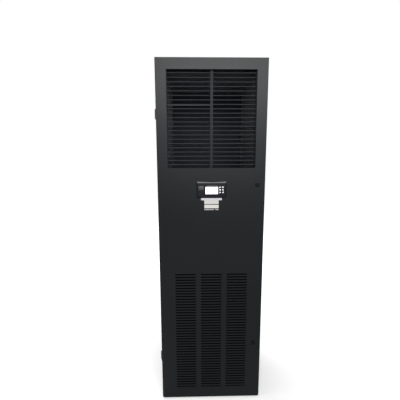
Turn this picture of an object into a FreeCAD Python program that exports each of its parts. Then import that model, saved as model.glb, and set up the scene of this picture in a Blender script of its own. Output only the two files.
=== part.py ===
import FreeCAD, Part
import math
import os

# Free-standing precision air conditioner for a computer room, in millimetres.
# Frame: origin on the floor under the middle of the cabinet, +Z up, the door faces -Y, +X is the
# viewer's right. One function makes one piece, and each piece is written to its own file.

# Cabinet envelope
WIDTH = 600.0
DEPTH = 600.0
HEIGHT = 2000.0
SHEET = 1.5
PANEL_SEAM = 1.0
BASE_HEIGHT = 60.0
BASE_SHEET = 3.0
BASE_FLANGE = 70.0
BASE_CROSS_WIDTH = 60.0
FLOOR_BOLT_RADIUS = 6.5
FLOOR_BOLT_INSET = 40.0
TOP_RIM = 15.0
POST_SHEET = 2.0
POST_LEG = 30.0
SIDE_LIP = 20.0

# Door
DOOR_DEPTH = 25.0
DOOR_GAP = 2.0
DOOR_FLOOR_GAP = 6.0
DOOR_LIP = 16.0
DOOR_EDGE_RADIUS = 3.0
DOOR_FOOT_RADIUS = 10.0

# Air outlet in the upper door, with two banks of tilting vanes
OUTLET_SIDE_MARGIN = 58.5
OUTLET_TOP_MARGIN = 59.0
OUTLET_BOTTOM = 1428.0
OUTLET_FLANGE = 14.0
LOUVRE_LAP = 12.0
LOUVRE_INSET = 3.0
LOUVRE_DEPTH = 24.0
MULLION_WIDTH = 14.8
VANE_ROWS = 22
VANE_TOP_MARGIN = 12.0
VANE_BOTTOM_MARGIN = 19.6
VANE_TIP_GAP = 2.4
VANE_THICKNESS = 1.6
VANE_NOSE_RADIUS = 2.5
VANE_BOSS_RADIUS = 2.4
VANE_PIN_RADIUS = 1.6
VANE_PIN_REACH = 6.0
VANE_END_GAP = 0.8
VANE_TILT = 7.0
ODD_VANE_ROW = 8
ODD_VANE_TILT = 28.0

# Return air slots in the lower door, and the filter behind them
INTAKE_SIDE_MARGIN = 88.5
INTAKE_BOTTOM = 78.0
INTAKE_HEIGHT = 738.0
SLOT_ROWS = 44
SLOT_COLUMNS = 3
SLOT_BAR = 9.2
SLOT_POST = 30.0
SLOT_CORNER = 1.5
FILTER_LAP = 14.0
FILTER_DEPTH = 17.0
FILTER_RIM = 16.0
FILTER_PLEAT = 24.0
FILTER_PAPER = 1.2
FILTER_GAP = 0.4
FILTER_RAIL_LIP = 10.0

# Door locks and hinges
LOCK_EDGE_INSET = 43.0
UPPER_LOCK_DROP = 94.0
LOWER_LOCK_HEIGHT = 372.0
LOCK_FLANGE_RADIUS = 13.0
LOCK_FLANGE_HEIGHT = 4.0
LOCK_FLANGE_CHAMFER = 1.5
LOCK_BARREL_RADIUS = 9.5
LOCK_NUT_RADIUS = 14.0
LOCK_NUT_HEIGHT = 5.0
LOCK_SPINDLE_RADIUS = 6.0
LOCK_SPINDLE_RECESS = 1.0
LOCK_KEY_WIDTH = 2.0
LOCK_KEY_LENGTH = 9.0
LOCK_KEY_DEPTH = 2.5
CAM_LENGTH = 34.0
CAM_WIDTH = 15.0
CAM_THICKNESS = 3.0
KEEPER_THICKNESS = 3.0
KEEPER_HEIGHT = 30.0
KEEPER_CLEAR = 1.5
KEEPER_GAP = 0.3
HINGE_INSET = 283.0
HINGE_HEIGHT = 52.0
HINGE_BARREL_RADIUS = 4.0
HINGE_LEAF = 2.0
HINGE_FRAME_REACH = 30.0
HINGE_DOOR_MARGIN = 3.0
HINGE_PIN_RADIUS = 2.0
HINGE_KNUCKLE_GAP = 0.4
HINGE_CLEARANCE = 0.3

# Display on the door and the blank labels under it
DISPLAY_DROP = 74.0
DISPLAY_WIDTH = 166.0
DISPLAY_HEIGHT = 91.0
DISPLAY_STAND = 8.0
DISPLAY_TOP_SLOPE = 8.0
DISPLAY_SIDE_SLOPE = 4.0
DISPLAY_FOOT_SLOPE = 7.0
DISPLAY_WALL = 3.0
DISPLAY_HOUSING_INSET = 8.0
DISPLAY_HOUSING_DEPTH = 16.0
SCREEN_WIDTH = 76.0
SCREEN_HEIGHT = 48.0
SCREEN_SHIFT_X = 1.4
SCREEN_LAP = 2.5
SCREEN_LAP_DEPTH = 1.5
BOARD_THICKNESS = 1.6
KEY_COLUMNS = 2
KEY_ROWS = 3
KEY_COLUMN_PITCH = 15.4
KEY_ROW_PITCH = 14.4
KEY_WIDTH = 8.0
KEY_HEIGHT = 7.2
KEY_FIRST_X = 47.6
KEY_PROUD = 1.4
KEY_TRAVEL = 0.8
KEY_LAP = 0.9
KEY_FLANGE = 1.2
KEY_GAP = 0.3
SWITCH_SIZE = 6.0
LABEL_THICKNESS = 0.4
LABEL_DROP = 2.0
LABEL_STRIP_WIDTH = 117.0
LABEL_STRIP_HEIGHT = 12.0
LABEL_CARD_WIDTH = 80.5
LABEL_CARD_UPPER = 21.0
LABEL_CARD_LOWER = 20.5
LABEL_CARD_GAP = 4.0
LABEL_LINE_HEIGHT = 3.8
LABEL_LINE_DROP = 5.9
LABEL_LINE_GAP = 8.0
LABEL_LINE_LONG = 54.0

# Fan, on a deck above the return air chamber
DECK_RISE = 84.0
DECK_SHEET = 2.0
DECK_FRONT_GAP = 10.0
FAN_REAR_INSET = 240.0
FAN_RADIUS = 160.0
FAN_EYE_RADIUS = 124.0
FAN_EYE_GAP = 2.0
FAN_WIDTH = 100.0
FAN_LIFT = 5.0
FAN_PLATE = 3.0
FAN_BLADES = 7
FAN_BLADE_SHEET = 2.5
FAN_BLADE_LEAN = 50.0
FAN_BOSS_RADIUS = 22.0
FAN_BOSS_HEIGHT = 12.0
INLET_COLLAR = 9.0
SHAFT_RADIUS = 9.0
MOTOR_RADIUS = 62.0
MOTOR_HEIGHT = 84.0
MOTOR_RIBS = 16
MOTOR_RIB_DEPTH = 3.0
MOTOR_GAP = 4.0
BRIDGE_SHEET = 4.0
BRIDGE_WIDTH = 84.0
BRIDGE_GAP = 24.0

# Supply plenum between the fan chamber and the vanes
PLENUM_DROP = 30.0
PLENUM_SIDE_LAP = 3.0
PLENUM_TOP_LAP = 6.0
PLENUM_REAR_INSET = 68.0
PLENUM_SEAL_GAP = 1.5

# Control box behind the middle of the door
BOX_SIDE_INSET = 66.0
BOX_DEPTH = 100.0
BOX_REAR_INSET = 150.0
BOX_CLEARANCE = 26.0
BOX_EAR_HEIGHT = 40.0
RAIL_RISE = 112.0
RAIL_PITCH = 112.0
RAIL_HEIGHT = 35.0
RAIL_DEPTH = 7.5
BREAKER_WIDTH = 36.0
BREAKER_HEIGHT = 82.0
BREAKER_DEPTH = 62.0
CONTACTOR_WIDTH = 45.0
CONTACTOR_HEIGHT = 74.0
CONTACTOR_DEPTH = 70.0
CONTACTORS = 3
TERMINAL_PITCH = 10.0
TERMINALS = 12
TERMINAL_HEIGHT = 46.0
TERMINAL_DEPTH = 40.0
BOARD_WIDTH = 180.0
BOARD_HEIGHT = 110.0
BOARD_STANDOFF = 10.0
BOARD_FOOT = 6.0
BOARD_DROP = 90.0

# Cooling coil, slanted across the return air chamber
COIL_SIDE_INSET = 65.0
COIL_LENGTH = 600.0
COIL_DEPTH = 66.0
COIL_LEAN = 28.0
COIL_FOOT_INSET = 153.0
COIL_FOOT_RISE = 34.0
COIL_FINS = 24
FIN_SHEET = 0.8
TUBE_SHEET = 2.0
TUBE_SHEET_LAP = 8.0
TUBE_SHEET_TAB = 70.0
TUBE_RADIUS = 4.8
TUBE_WALL = 0.8
TUBE_FIT = 0.05
TUBE_ROWS = 3
TUBE_ROW_PITCH = 22.0
TUBES_PER_ROW = 12
TUBE_FIRST = 47.0
TUBE_END_STUB = 2.0
CONNECTION_INSET = 15.0
PAN_HEIGHT = 40.0
PAN_RISE = 120.0
PAN_FRONT_REACH = 66.0
PAN_REAR_REACH = 64.0
PAN_SIDE_LAP = 15.0
PAN_LEG_SHEET = 2.0
PAN_LEG_INSET = 20.0
DRAIN_RADIUS = 10.0
DRAIN_SIDE_INSET = 100.0

# Compressor and refrigerant lines
COMPRESSOR_REAR_INSET = 130.0
COMPRESSOR_RADIUS = 80.0
COMPRESSOR_HEIGHT = 380.0
COMPRESSOR_DOME = 45.0
COMPRESSOR_WALL = 6.0
COMPRESSOR_SEAM_HEIGHT = 10.0
COMPRESSOR_SEAM_RADIUS = 3.0
COMPRESSOR_FOOT = 190.0
COMPRESSOR_FOOT_SHEET = 6.0
GROMMET_HEIGHT = 14.0
GROMMET_RADIUS = 16.0
GROMMET_INSET = 22.0
TERMINAL_BOX = 60.0
TERMINAL_BOX_HEIGHT = 90.0
PORT_LENGTH = 12.0
PORT_WALL = 3.0
DISCHARGE_OFFSET = 35.0
DISCHARGE_RISE = 70.0
SUCTION_HEIGHT = 200.0
GAS_RADIUS = 8.0
SUCTION_RADIUS = 9.0
LIQUID_RADIUS = 6.4
PIPE_WALL = 1.0
PIPE_BEND = 24.0
PIPE_STRAIGHT = 0.5
RISER_SIDE_GAP = 6.0
LIQUID_X_OFFSET = 70.0
LIQUID_REAR_INSET = 60.0
LIQUID_RUN_HEIGHT = 110.0
DRIER_RADIUS = 25.0
DRIER_LENGTH = 140.0
DRIER_NECK = 14.0
DRIER_DROP = 90.0
VALVE_SIZE = 26.0
VALVE_HEIGHT = 40.0
VALVE_HEAD_RADIUS = 15.0
VALVE_HEAD_HEIGHT = 14.0
VALVE_FOOT_RISE = 50.0

# Fittings in the rear panel
FITTING_WALL = 1.5
FITTING_FLANGE = 8.0
FITTING_FLANGE_HEIGHT = 5.0
FITTING_NECK = 4.0
FITTING_NUT_HEIGHT = 6.0
FITTING_STUB = 30.0
GLAND_RADIUS = 14.0
GLAND_WALL = 4.0
GLAND_SIDE_INSET = 80.0
GLAND_DROP = 180.0

# Fits shared by several pieces
RUNNING_FIT = 0.05
HOLE_FIT = 0.3

# Places worked out from the sizes above
HALF_WIDTH = WIDTH / 2
DOOR_FACE = -DEPTH / 2
REAR_FACE = DEPTH / 2
DOOR_REAR = DOOR_FACE + DOOR_DEPTH
FRONT = DOOR_REAR + DOOR_GAP
SIDE_INNER = HALF_WIDTH - SHEET
POST_INNER = SIDE_INNER - POST_SHEET
POST_FRONT = FRONT + SHEET
POST_REAR = REAR_FACE - SHEET
POST_TOP = HEIGHT - SHEET
PANEL_BOTTOM = BASE_HEIGHT + PANEL_SEAM
PANEL_TOP = HEIGHT - TOP_RIM - PANEL_SEAM
OUTLET_HALF = HALF_WIDTH - OUTLET_SIDE_MARGIN
OUTLET_TOP = HEIGHT - OUTLET_TOP_MARGIN
OUTLET_HEIGHT = OUTLET_TOP - OUTLET_BOTTOM
LOUVRE_FRONT = DOOR_FACE + OUTLET_FLANGE
LOUVRE_REAR = LOUVRE_FRONT + LOUVRE_DEPTH
VANE_Y = (LOUVRE_FRONT + LOUVRE_REAR) / 2
VANE_PITCH = (OUTLET_HEIGHT - VANE_TOP_MARGIN - VANE_BOTTOM_MARGIN) / (VANE_ROWS - 1)
VANE_CHORD = VANE_PITCH - VANE_TIP_GAP
VANE_START = MULLION_WIDTH / 2 + VANE_END_GAP
VANE_END = OUTLET_HALF - LOUVRE_INSET - VANE_END_GAP
INTAKE_HALF = HALF_WIDTH - INTAKE_SIDE_MARGIN
INTAKE_TOP = INTAKE_BOTTOM + INTAKE_HEIGHT
SLOT_PITCH = (INTAKE_HEIGHT + SLOT_BAR) / SLOT_ROWS
SLOT_HEIGHT = SLOT_PITCH - SLOT_BAR
SLOT_LENGTH = (2 * INTAKE_HALF - (SLOT_COLUMNS - 1) * SLOT_POST) / SLOT_COLUMNS
FILTER_HALF = INTAKE_HALF + FILTER_LAP
FILTER_FRONT = DOOR_FACE + SHEET + FILTER_GAP
FILTER_REAR = FILTER_FRONT + FILTER_DEPTH
FILTER_BOTTOM = INTAKE_BOTTOM - FILTER_LAP
FILTER_TOP = INTAKE_TOP + FILTER_LAP
LOCK_X = HALF_WIDTH - LOCK_EDGE_INSET
LOCK_HEIGHTS = {"upper": OUTLET_BOTTOM - UPPER_LOCK_DROP, "lower": LOWER_LOCK_HEIGHT}
KEEPER_FRONT = POST_FRONT + POST_SHEET
CAM_FRONT = KEEPER_FRONT + KEEPER_THICKNESS + KEEPER_GAP
HINGE_X = -HALF_WIDTH - HINGE_BARREL_RADIUS - HINGE_CLEARANCE
HINGE_Y = (DOOR_REAR + FRONT) / 2
HINGE_HEIGHTS = (HINGE_INSET, HEIGHT - HINGE_INSET)
DISPLAY_TOP = OUTLET_BOTTOM - DISPLAY_DROP
DISPLAY_BOTTOM = DISPLAY_TOP - DISPLAY_HEIGHT
DISPLAY_FACE = DOOR_FACE - DISPLAY_STAND
DISPLAY_WALL_REAR = DISPLAY_FACE + DISPLAY_WALL
DISPLAY_MIDDLE = (DISPLAY_TOP - DISPLAY_TOP_SLOPE + DISPLAY_BOTTOM + DISPLAY_FOOT_SLOPE) / 2
HOUSING_HALF = DISPLAY_WIDTH / 2 - DISPLAY_HOUSING_INSET
HOUSING_TOP = DISPLAY_TOP - DISPLAY_HOUSING_INSET
HOUSING_BOTTOM = DISPLAY_BOTTOM + DISPLAY_HOUSING_INSET
HOUSING_REAR = DOOR_FACE + DISPLAY_HOUSING_DEPTH
BOARD_FRONT = HOUSING_REAR - DISPLAY_WALL - BOARD_THICKNESS
KEY_REAR = DISPLAY_WALL_REAR + KEY_GAP + KEY_FLANGE
DECK_Z = INTAKE_TOP + DECK_RISE
DECK_TOP = DECK_Z + DECK_SHEET
DECK_FRONT = FRONT + DECK_FRONT_GAP
DECK_REAR = POST_REAR - POST_SHEET
FAN_Y = REAR_FACE - FAN_REAR_INSET
FAN_BOTTOM = DECK_TOP + FAN_LIFT
FAN_TOP = FAN_BOTTOM + FAN_WIDTH
MOTOR_BOTTOM = FAN_TOP + FAN_BOSS_HEIGHT + MOTOR_GAP
BRIDGE_BOTTOM = MOTOR_BOTTOM + MOTOR_HEIGHT
PLENUM_Z = OUTLET_BOTTOM - PLENUM_DROP
PLENUM_HALF = OUTLET_HALF + PLENUM_SIDE_LAP
PLENUM_TOP = OUTLET_TOP + PLENUM_TOP_LAP
PLENUM_FRONT = LOUVRE_REAR + PLENUM_SEAL_GAP
PLENUM_REAR = REAR_FACE - PLENUM_REAR_INSET
BOX_HALF = HALF_WIDTH - BOX_SIDE_INSET
BOX_REAR = DOOR_FACE + BOX_REAR_INSET
BOX_FRONT = BOX_REAR - BOX_DEPTH
BOX_BOTTOM = DECK_TOP + BOX_CLEARANCE
BOX_TOP = PLENUM_Z - BOX_CLEARANCE
COIL_HALF = HALF_WIDTH - COIL_SIDE_INSET
TUBE_PITCH = (COIL_LENGTH - 2 * TUBE_FIRST) / (TUBES_PER_ROW - 1)
COIL_FOOT_Y = FRONT + COIL_FOOT_INSET
PAN_BOTTOM = BASE_HEIGHT + PAN_RISE
PAN_FLOOR = PAN_BOTTOM + SHEET
COIL_FOOT_Z = PAN_FLOOR + COIL_FOOT_RISE
SHEET_OUTER = COIL_HALF + TUBE_SHEET
PAN_FRONT = COIL_FOOT_Y - PAN_FRONT_REACH
PAN_REAR = COIL_FOOT_Y + PAN_REAR_REACH
PAN_HALF = COIL_HALF + PAN_SIDE_LAP
RISER_X = SIDE_INNER - RISER_SIDE_GAP - SUCTION_RADIUS
LIQUID_X = RISER_X - 2 * PIPE_BEND - PIPE_STRAIGHT
GAS_X = LIQUID_X - LIQUID_X_OFFSET
COMPRESSOR_X = GAS_X - DISCHARGE_OFFSET
COMPRESSOR_Y = REAR_FACE - COMPRESSOR_REAR_INSET
COMPRESSOR_BOTTOM = BASE_HEIGHT + GROMMET_HEIGHT + COMPRESSOR_FOOT_SHEET
COMPRESSOR_TOP = COMPRESSOR_BOTTOM + COMPRESSOR_HEIGHT
FITTING_INNER = REAR_FACE - SHEET - FITTING_NUT_HEIGHT
GAS_Z = COMPRESSOR_TOP + PORT_LENGTH + DISCHARGE_RISE
LIQUID_Y = REAR_FACE - LIQUID_REAR_INSET
DRIER_TOP = GAS_Z - DRIER_DROP
DRIER_BOTTOM = DRIER_TOP - DRIER_LENGTH
VALVE_BOTTOM = LIQUID_RUN_HEIGHT + VALVE_FOOT_RISE
DRAIN_X = -(HALF_WIDTH - DRAIN_SIDE_INSET)
DRAIN_Z = PAN_FLOOR + DRAIN_RADIUS + SHEET
GLAND_X = -(HALF_WIDTH - GLAND_SIDE_INSET)
GLAND_Z = OUTLET_BOTTOM - GLAND_DROP


def vec(x, y, z):
    return FreeCAD.Vector(x, y, z)


ALONG_X = vec(1, 0, 0)
ALONG_Y = vec(0, 1, 0)
ALONG_Z = vec(0, 0, 1)


def block(x0, x1, y0, y1, z0, z1):
    """A box between two corners."""
    return Part.makeBox(x1 - x0, y1 - y0, z1 - z0, vec(x0, y0, z0))


def bar(radius, start, end):
    """A round bar from one point to another."""
    run = end - start
    return Part.makeCylinder(radius, run.Length, start, run)


def sleeve(outer, inner, start, end):
    """A round bar with a bore along it."""
    return bar(outer, start, end).cut(bar(inner, start, end))


def join(first, *others):
    """Welded pieces become one solid."""
    return first.fuse(list(others)).removeSplitter()


def edges_along(shape, direction, keep):
    """The straight edges along a direction whose middle satisfies keep."""
    found = []
    for edge in shape.Edges:
        if len(edge.Vertexes) != 2:
            continue
        run = edge.Vertexes[1].Point - edge.Vertexes[0].Point
        along = abs(run.dot(direction)) > 0.999 * run.Length
        if along and keep(edge.CenterOfMass):
            found.append(edge)
    return found


def rounded_y(x0, x1, y0, y1, z0, z1, radius):
    """A box whose four edges along Y are rounded."""
    shape = block(x0, x1, y0, y1, z0, z1)
    return shape.makeFillet(radius, edges_along(shape, ALONG_Y, lambda point: True))


def prism_x(outline, x0, x1):
    """An outline of (y, z) points carried along X."""
    points = [vec(x0, y, z) for y, z in outline]
    return Part.Face(Part.makePolygon(points + points[:1])).extrude(vec(x1 - x0, 0, 0))


def prism_z(outline, z0, z1):
    """An outline of (x, y) points carried along Z."""
    points = [vec(x, y, z0) for x, y in outline]
    return Part.Face(Part.makePolygon(points + points[:1])).extrude(vec(0, 0, z1 - z0))


def turned(outline, centre):
    """An outline of (radius, z) points turned about a vertical axis through centre."""
    points = [vec(centre.x + r, centre.y, z) for r, z in outline]
    face = Part.Face(Part.makePolygon(points + points[:1]))
    return face.revolve(vec(centre.x, centre.y, 0), ALONG_Z, 360)


def bent_path(points, bend):
    """Straight runs between points, joined by arcs of one bend radius."""
    edges = []
    start = points[0]
    for before, corner, after in zip(points, points[1:], points[2:]):
        back = (before - corner).normalize()
        onward = (after - corner).normalize()
        half = back.getAngle(onward) / 2
        reach = bend / math.tan(half)
        middle = (back + onward).normalize() * (bend / math.sin(half) - bend)
        arc_start = corner + back * reach
        arc_end = corner + onward * reach
        edges.append(Part.LineSegment(start, arc_start).toShape())
        edges.append(Part.Arc(arc_start, corner + middle, arc_end).toShape())
        start = arc_end
    edges.append(Part.LineSegment(start, points[-1]).toShape())
    return Part.Wire(edges)


def bent_pipe(points, radius):
    """A pipe of the standard wall along a bent path."""
    path = bent_path(points, PIPE_BEND)
    heading = points[1] - points[0]
    solids = []
    for ring_radius in (radius, radius - PIPE_WALL):
        ring = Part.Wire(Part.makeCircle(ring_radius, points[0], heading))
        solids.append(path.makePipeShell([ring], True, False))
    return solids[0].cut(solids[1])


def save(name, *solids):
    """Write one node: a single solid, or a group of separate solids."""
    shape = solids[0] if len(solids) == 1 else Part.makeCompound(list(solids))
    shape.exportStep("parts/" + name + ".step")


def base_frame():
    """Base welded from flat bars: walls, a floor plate on top, bolting flanges and a cross member below."""
    front = POST_FRONT + BASE_SHEET
    rear = REAR_FACE - BASE_SHEET
    side = HALF_WIDTH - BASE_SHEET
    ceiling = BASE_HEIGHT - BASE_SHEET
    flange_front = POST_FRONT + BASE_FLANGE
    flange_rear = REAR_FACE - BASE_FLANGE
    flange_side = HALF_WIDTH - BASE_FLANGE
    half_cross = BASE_CROSS_WIDTH / 2
    solids = [
        block(-HALF_WIDTH, HALF_WIDTH, POST_FRONT, REAR_FACE, ceiling, BASE_HEIGHT),
        block(-HALF_WIDTH, HALF_WIDTH, POST_FRONT, front, 0, ceiling),
        block(-HALF_WIDTH, HALF_WIDTH, rear, REAR_FACE, 0, ceiling),
        block(-HALF_WIDTH, -side, front, rear, 0, ceiling),
        block(side, HALF_WIDTH, front, rear, 0, ceiling),
        block(-side, -flange_side, flange_front, flange_rear, 0, BASE_SHEET),
        block(flange_side, side, flange_front, flange_rear, 0, BASE_SHEET),
        block(-flange_side, flange_side, -half_cross, half_cross, 0, BASE_SHEET),
        block(-side, side, -half_cross, BASE_SHEET - half_cross, BASE_SHEET, ceiling),
        block(-side, side, half_cross - BASE_SHEET, half_cross, BASE_SHEET, ceiling)]
    bolt_x = HALF_WIDTH - FLOOR_BOLT_INSET
    for y0, y1, bolt_y in (
            (front, flange_front, POST_FRONT + FLOOR_BOLT_INSET),
            (flange_rear, rear, REAR_FACE - FLOOR_BOLT_INSET)):
        flange = block(-side, side, y0, y1, 0, BASE_SHEET)
        holes = []
        for x in (-bolt_x, bolt_x):
            holes.append(bar(FLOOR_BOLT_RADIUS, vec(x, bolt_y, 0), vec(x, bolt_y, BASE_SHEET)))
        solids.append(flange.cut(holes))
    return solids


def corner_posts():
    """Four upright posts that carry the panels, each welded from two flat bars."""
    bars = []
    for side in (-1, 1):
        corner = side * SIDE_INNER
        for face, inward in ((POST_FRONT, 1), (POST_REAR, -1)):
            x0, x1 = sorted((corner, corner - side * POST_LEG))
            y0, y1 = sorted((face, face + inward * POST_SHEET))
            bars.append(block(x0, x1, y0, y1, BASE_HEIGHT, POST_TOP))
            x0, x1 = sorted((corner, corner - side * POST_SHEET))
            y0, y1 = sorted((face + inward * POST_SHEET, face + inward * POST_LEG))
            bars.append(block(x0, x1, y0, y1, BASE_HEIGHT, POST_TOP))
    return bars


def top_panel():
    """Lid with a rim turned down all round."""
    lid = block(-HALF_WIDTH, HALF_WIDTH, FRONT, REAR_FACE, HEIGHT - TOP_RIM, HEIGHT)
    hollow = block(
        -SIDE_INNER, SIDE_INNER, POST_FRONT, POST_REAR, HEIGHT - TOP_RIM, HEIGHT - SHEET)
    return lid.cut(hollow)


def side_panel(side):
    """Side sheet, folded in along its front edge."""
    outer = side * HALF_WIDTH
    inner = side * SIDE_INNER
    lip = side * (SIDE_INNER - SIDE_LIP)
    outline = [
        (outer, FRONT), (lip, FRONT), (lip, POST_FRONT),
        (inner, POST_FRONT), (inner, REAR_FACE), (outer, REAR_FACE)]
    return prism_z(outline, PANEL_BOTTOM, PANEL_TOP)


def fitting_places():
    """Where the rear fittings sit: radius, x and z of each."""
    return {
        "gas": (GAS_RADIUS, GAS_X, GAS_Z),
        "liquid": (LIQUID_RADIUS, LIQUID_X, GAS_Z),
        "drain": (DRAIN_RADIUS, DRAIN_X, DRAIN_Z),
    }


def rear_panel():
    """Rear sheet with a hole for each fitting."""
    half = SIDE_INNER - HOLE_FIT
    sheet = block(-half, half, POST_REAR, REAR_FACE, PANEL_BOTTOM, PANEL_TOP)
    holes = []
    for radius, x, z in fitting_places().values():
        hole = radius + FITTING_NECK + HOLE_FIT
        holes.append(bar(hole, vec(x, POST_REAR, z), vec(x, REAR_FACE, z)))
    hole = GLAND_RADIUS + GLAND_WALL + HOLE_FIT
    holes.append(bar(hole, vec(GLAND_X, POST_REAR, GLAND_Z), vec(GLAND_X, REAR_FACE, GLAND_Z)))
    return sheet.cut(holes)


def fan_deck():
    """Deck under the fan with an inlet collar, and the bridge that the motor hangs from."""
    deck = block(-POST_INNER, POST_INNER, DECK_FRONT, DECK_REAR, DECK_Z, DECK_TOP)
    collar = FAN_EYE_RADIUS - FAN_EYE_GAP
    centre = vec(0, FAN_Y, DECK_Z)
    top = vec(0, FAN_Y, DECK_TOP + INLET_COLLAR)
    deck = join(deck, bar(collar, centre, top)).cut(bar(collar - DECK_SHEET, centre, top))
    y0 = FAN_Y - BRIDGE_WIDTH / 2
    y1 = FAN_Y + BRIDGE_WIDTH / 2
    leg = FAN_RADIUS + BRIDGE_GAP
    outer = leg + BRIDGE_SHEET
    return [
        deck,
        block(-outer, -leg, y0, y1, DECK_TOP, BRIDGE_BOTTOM),
        block(leg, outer, y0, y1, DECK_TOP, BRIDGE_BOTTOM),
        block(-outer, outer, y0, y1, BRIDGE_BOTTOM, BRIDGE_BOTTOM + BRIDGE_SHEET)]


def fan_motor():
    """Ribbed motor hung from the bridge, with its shaft pointing down."""
    body = bar(MOTOR_RADIUS, vec(0, FAN_Y, MOTOR_BOTTOM), vec(0, FAN_Y, BRIDGE_BOTTOM))
    body = body.makeChamfer(MOTOR_RIB_DEPTH, [
        edge for edge in body.Edges if abs(edge.CenterOfMass.z - MOTOR_BOTTOM) < RUNNING_FIT])
    grooves = []
    for rib in range(MOTOR_RIBS):
        angle = 2 * math.pi * rib / MOTOR_RIBS
        spot = vec(MOTOR_RADIUS * math.cos(angle), FAN_Y + MOTOR_RADIUS * math.sin(angle), MOTOR_BOTTOM)
        grooves.append(bar(MOTOR_RIB_DEPTH, spot, spot + vec(0, 0, MOTOR_HEIGHT - 2 * MOTOR_RIB_DEPTH)))
    shaft = bar(SHAFT_RADIUS, vec(0, FAN_Y, FAN_TOP - FAN_PLATE), vec(0, FAN_Y, MOTOR_BOTTOM))
    return join(body.cut(grooves), shaft)


def fan_impeller():
    """Backward-leaning blades between an eye ring and a hub plate."""
    low = vec(0, FAN_Y, FAN_BOTTOM)
    high = vec(0, FAN_Y, FAN_TOP)
    ring = sleeve(FAN_RADIUS, FAN_EYE_RADIUS, low, low + vec(0, 0, FAN_PLATE))
    plate = bar(FAN_RADIUS, high - vec(0, 0, FAN_PLATE), high)
    boss = bar(FAN_BOSS_RADIUS, high, high + vec(0, 0, FAN_BOSS_HEIGHT))
    rim = FAN_RADIUS - FAN_PLATE
    length = rim * math.sin(math.radians(FAN_BLADE_LEAN))
    blades = []
    for index in range(FAN_BLADES):
        blade = block(0, FAN_BLADE_SHEET, -length, 0, FAN_BOTTOM, FAN_TOP)
        blade.rotate(vec(0, 0, 0), ALONG_Z, FAN_BLADE_LEAN - 90)
        blade.translate(vec(0, rim, 0))
        blade.rotate(vec(0, 0, 0), ALONG_Z, 360 * index / FAN_BLADES)
        blade.translate(vec(0, FAN_Y, 0))
        blades.append(blade)
    envelope = bar(FAN_RADIUS, low, high)
    wheel = join(ring, plate, boss, *[blade.common(envelope) for blade in blades])
    bore = bar(SHAFT_RADIUS + RUNNING_FIT, low, high + vec(0, 0, FAN_BOSS_HEIGHT))
    eye = bar(FAN_EYE_RADIUS, low, low + vec(0, 0, INLET_COLLAR))
    return wheel.cut([bore, eye])


def supply_plenum():
    """Sheet duct from the fan chamber to the vanes, on a shelf between the posts."""
    shelf = block(-POST_INNER, POST_INNER, PLENUM_FRONT, DECK_REAR, PLENUM_Z, PLENUM_Z + SHEET)
    duct = block(-PLENUM_HALF - SHEET, PLENUM_HALF + SHEET, PLENUM_FRONT, PLENUM_REAR + SHEET,
                 PLENUM_Z, PLENUM_TOP + SHEET)
    air = block(-PLENUM_HALF, PLENUM_HALF, PLENUM_FRONT, PLENUM_REAR, PLENUM_Z, PLENUM_TOP)
    return join(shelf, duct).cut(air)


def coil_place(x, along, across):
    """A point on the coil: along its slope from the foot, and across its depth."""
    lean = math.radians(COIL_LEAN)
    y = COIL_FOOT_Y + along * math.sin(lean) + across * math.cos(lean)
    z = COIL_FOOT_Z + along * math.cos(lean) - across * math.sin(lean)
    return vec(x, y, z)


def coil_plate(x0, x1, lap):
    """A plate of the coil's slanted outline, with a lap all round."""
    corners = []
    for along, across in ((-lap, -1), (COIL_LENGTH + lap, -1), (COIL_LENGTH + lap, 1), (-lap, 1)):
        point = coil_place(x0, along, across * (COIL_DEPTH / 2 + lap))
        corners.append((point.y, point.z))
    return prism_x(corners, x0, x1)


def tube_places():
    """Every tube's place: row, number in the row, along and across."""
    places = []
    for row in range(TUBE_ROWS):
        across = (row - (TUBE_ROWS - 1) / 2) * TUBE_ROW_PITCH
        for number in range(TUBES_PER_ROW):
            places.append((row, number, TUBE_FIRST + number * TUBE_PITCH, across))
    return places


def tube_holes(x0, x1):
    """Bars that bore a plate for every tube."""
    holes = []
    for _, _, along, across in tube_places():
        start = coil_place(x0, along, across)
        holes.append(bar(TUBE_RADIUS + TUBE_FIT, start, coil_place(x1, along, across)))
    return holes


def coil_fins():
    """Fins on the tubes, between two thicker sheets that stand in the pan and reach the deck."""
    solids = []
    first_fin = coil_plate(-FIN_SHEET / 2, FIN_SHEET / 2, 0).cut(tube_holes(-FIN_SHEET, FIN_SHEET))
    pitch = 2 * COIL_HALF / (COIL_FINS + 1)
    for fin in range(COIL_FINS):
        solids.append(first_fin.translated(vec((fin + 1) * pitch - COIL_HALF, 0, 0)))
    head = coil_place(0, COIL_LENGTH, 0)
    foot = coil_place(0, 0, 0)
    half_tab = TUBE_SHEET_TAB / 2
    for x0 in (-SHEET_OUTER, COIL_HALF):
        x1 = x0 + TUBE_SHEET
        sheet = join(
            coil_plate(x0, x1, TUBE_SHEET_LAP),
            block(x0, x1, head.y - half_tab, head.y + half_tab, head.z - half_tab, DECK_Z),
            block(x0, x1, foot.y - half_tab / 2, foot.y + half_tab / 2, PAN_FLOOR, foot.z + half_tab))
        solids.append(sheet.cut(tube_holes(x0, x1)))
    return solids


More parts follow.
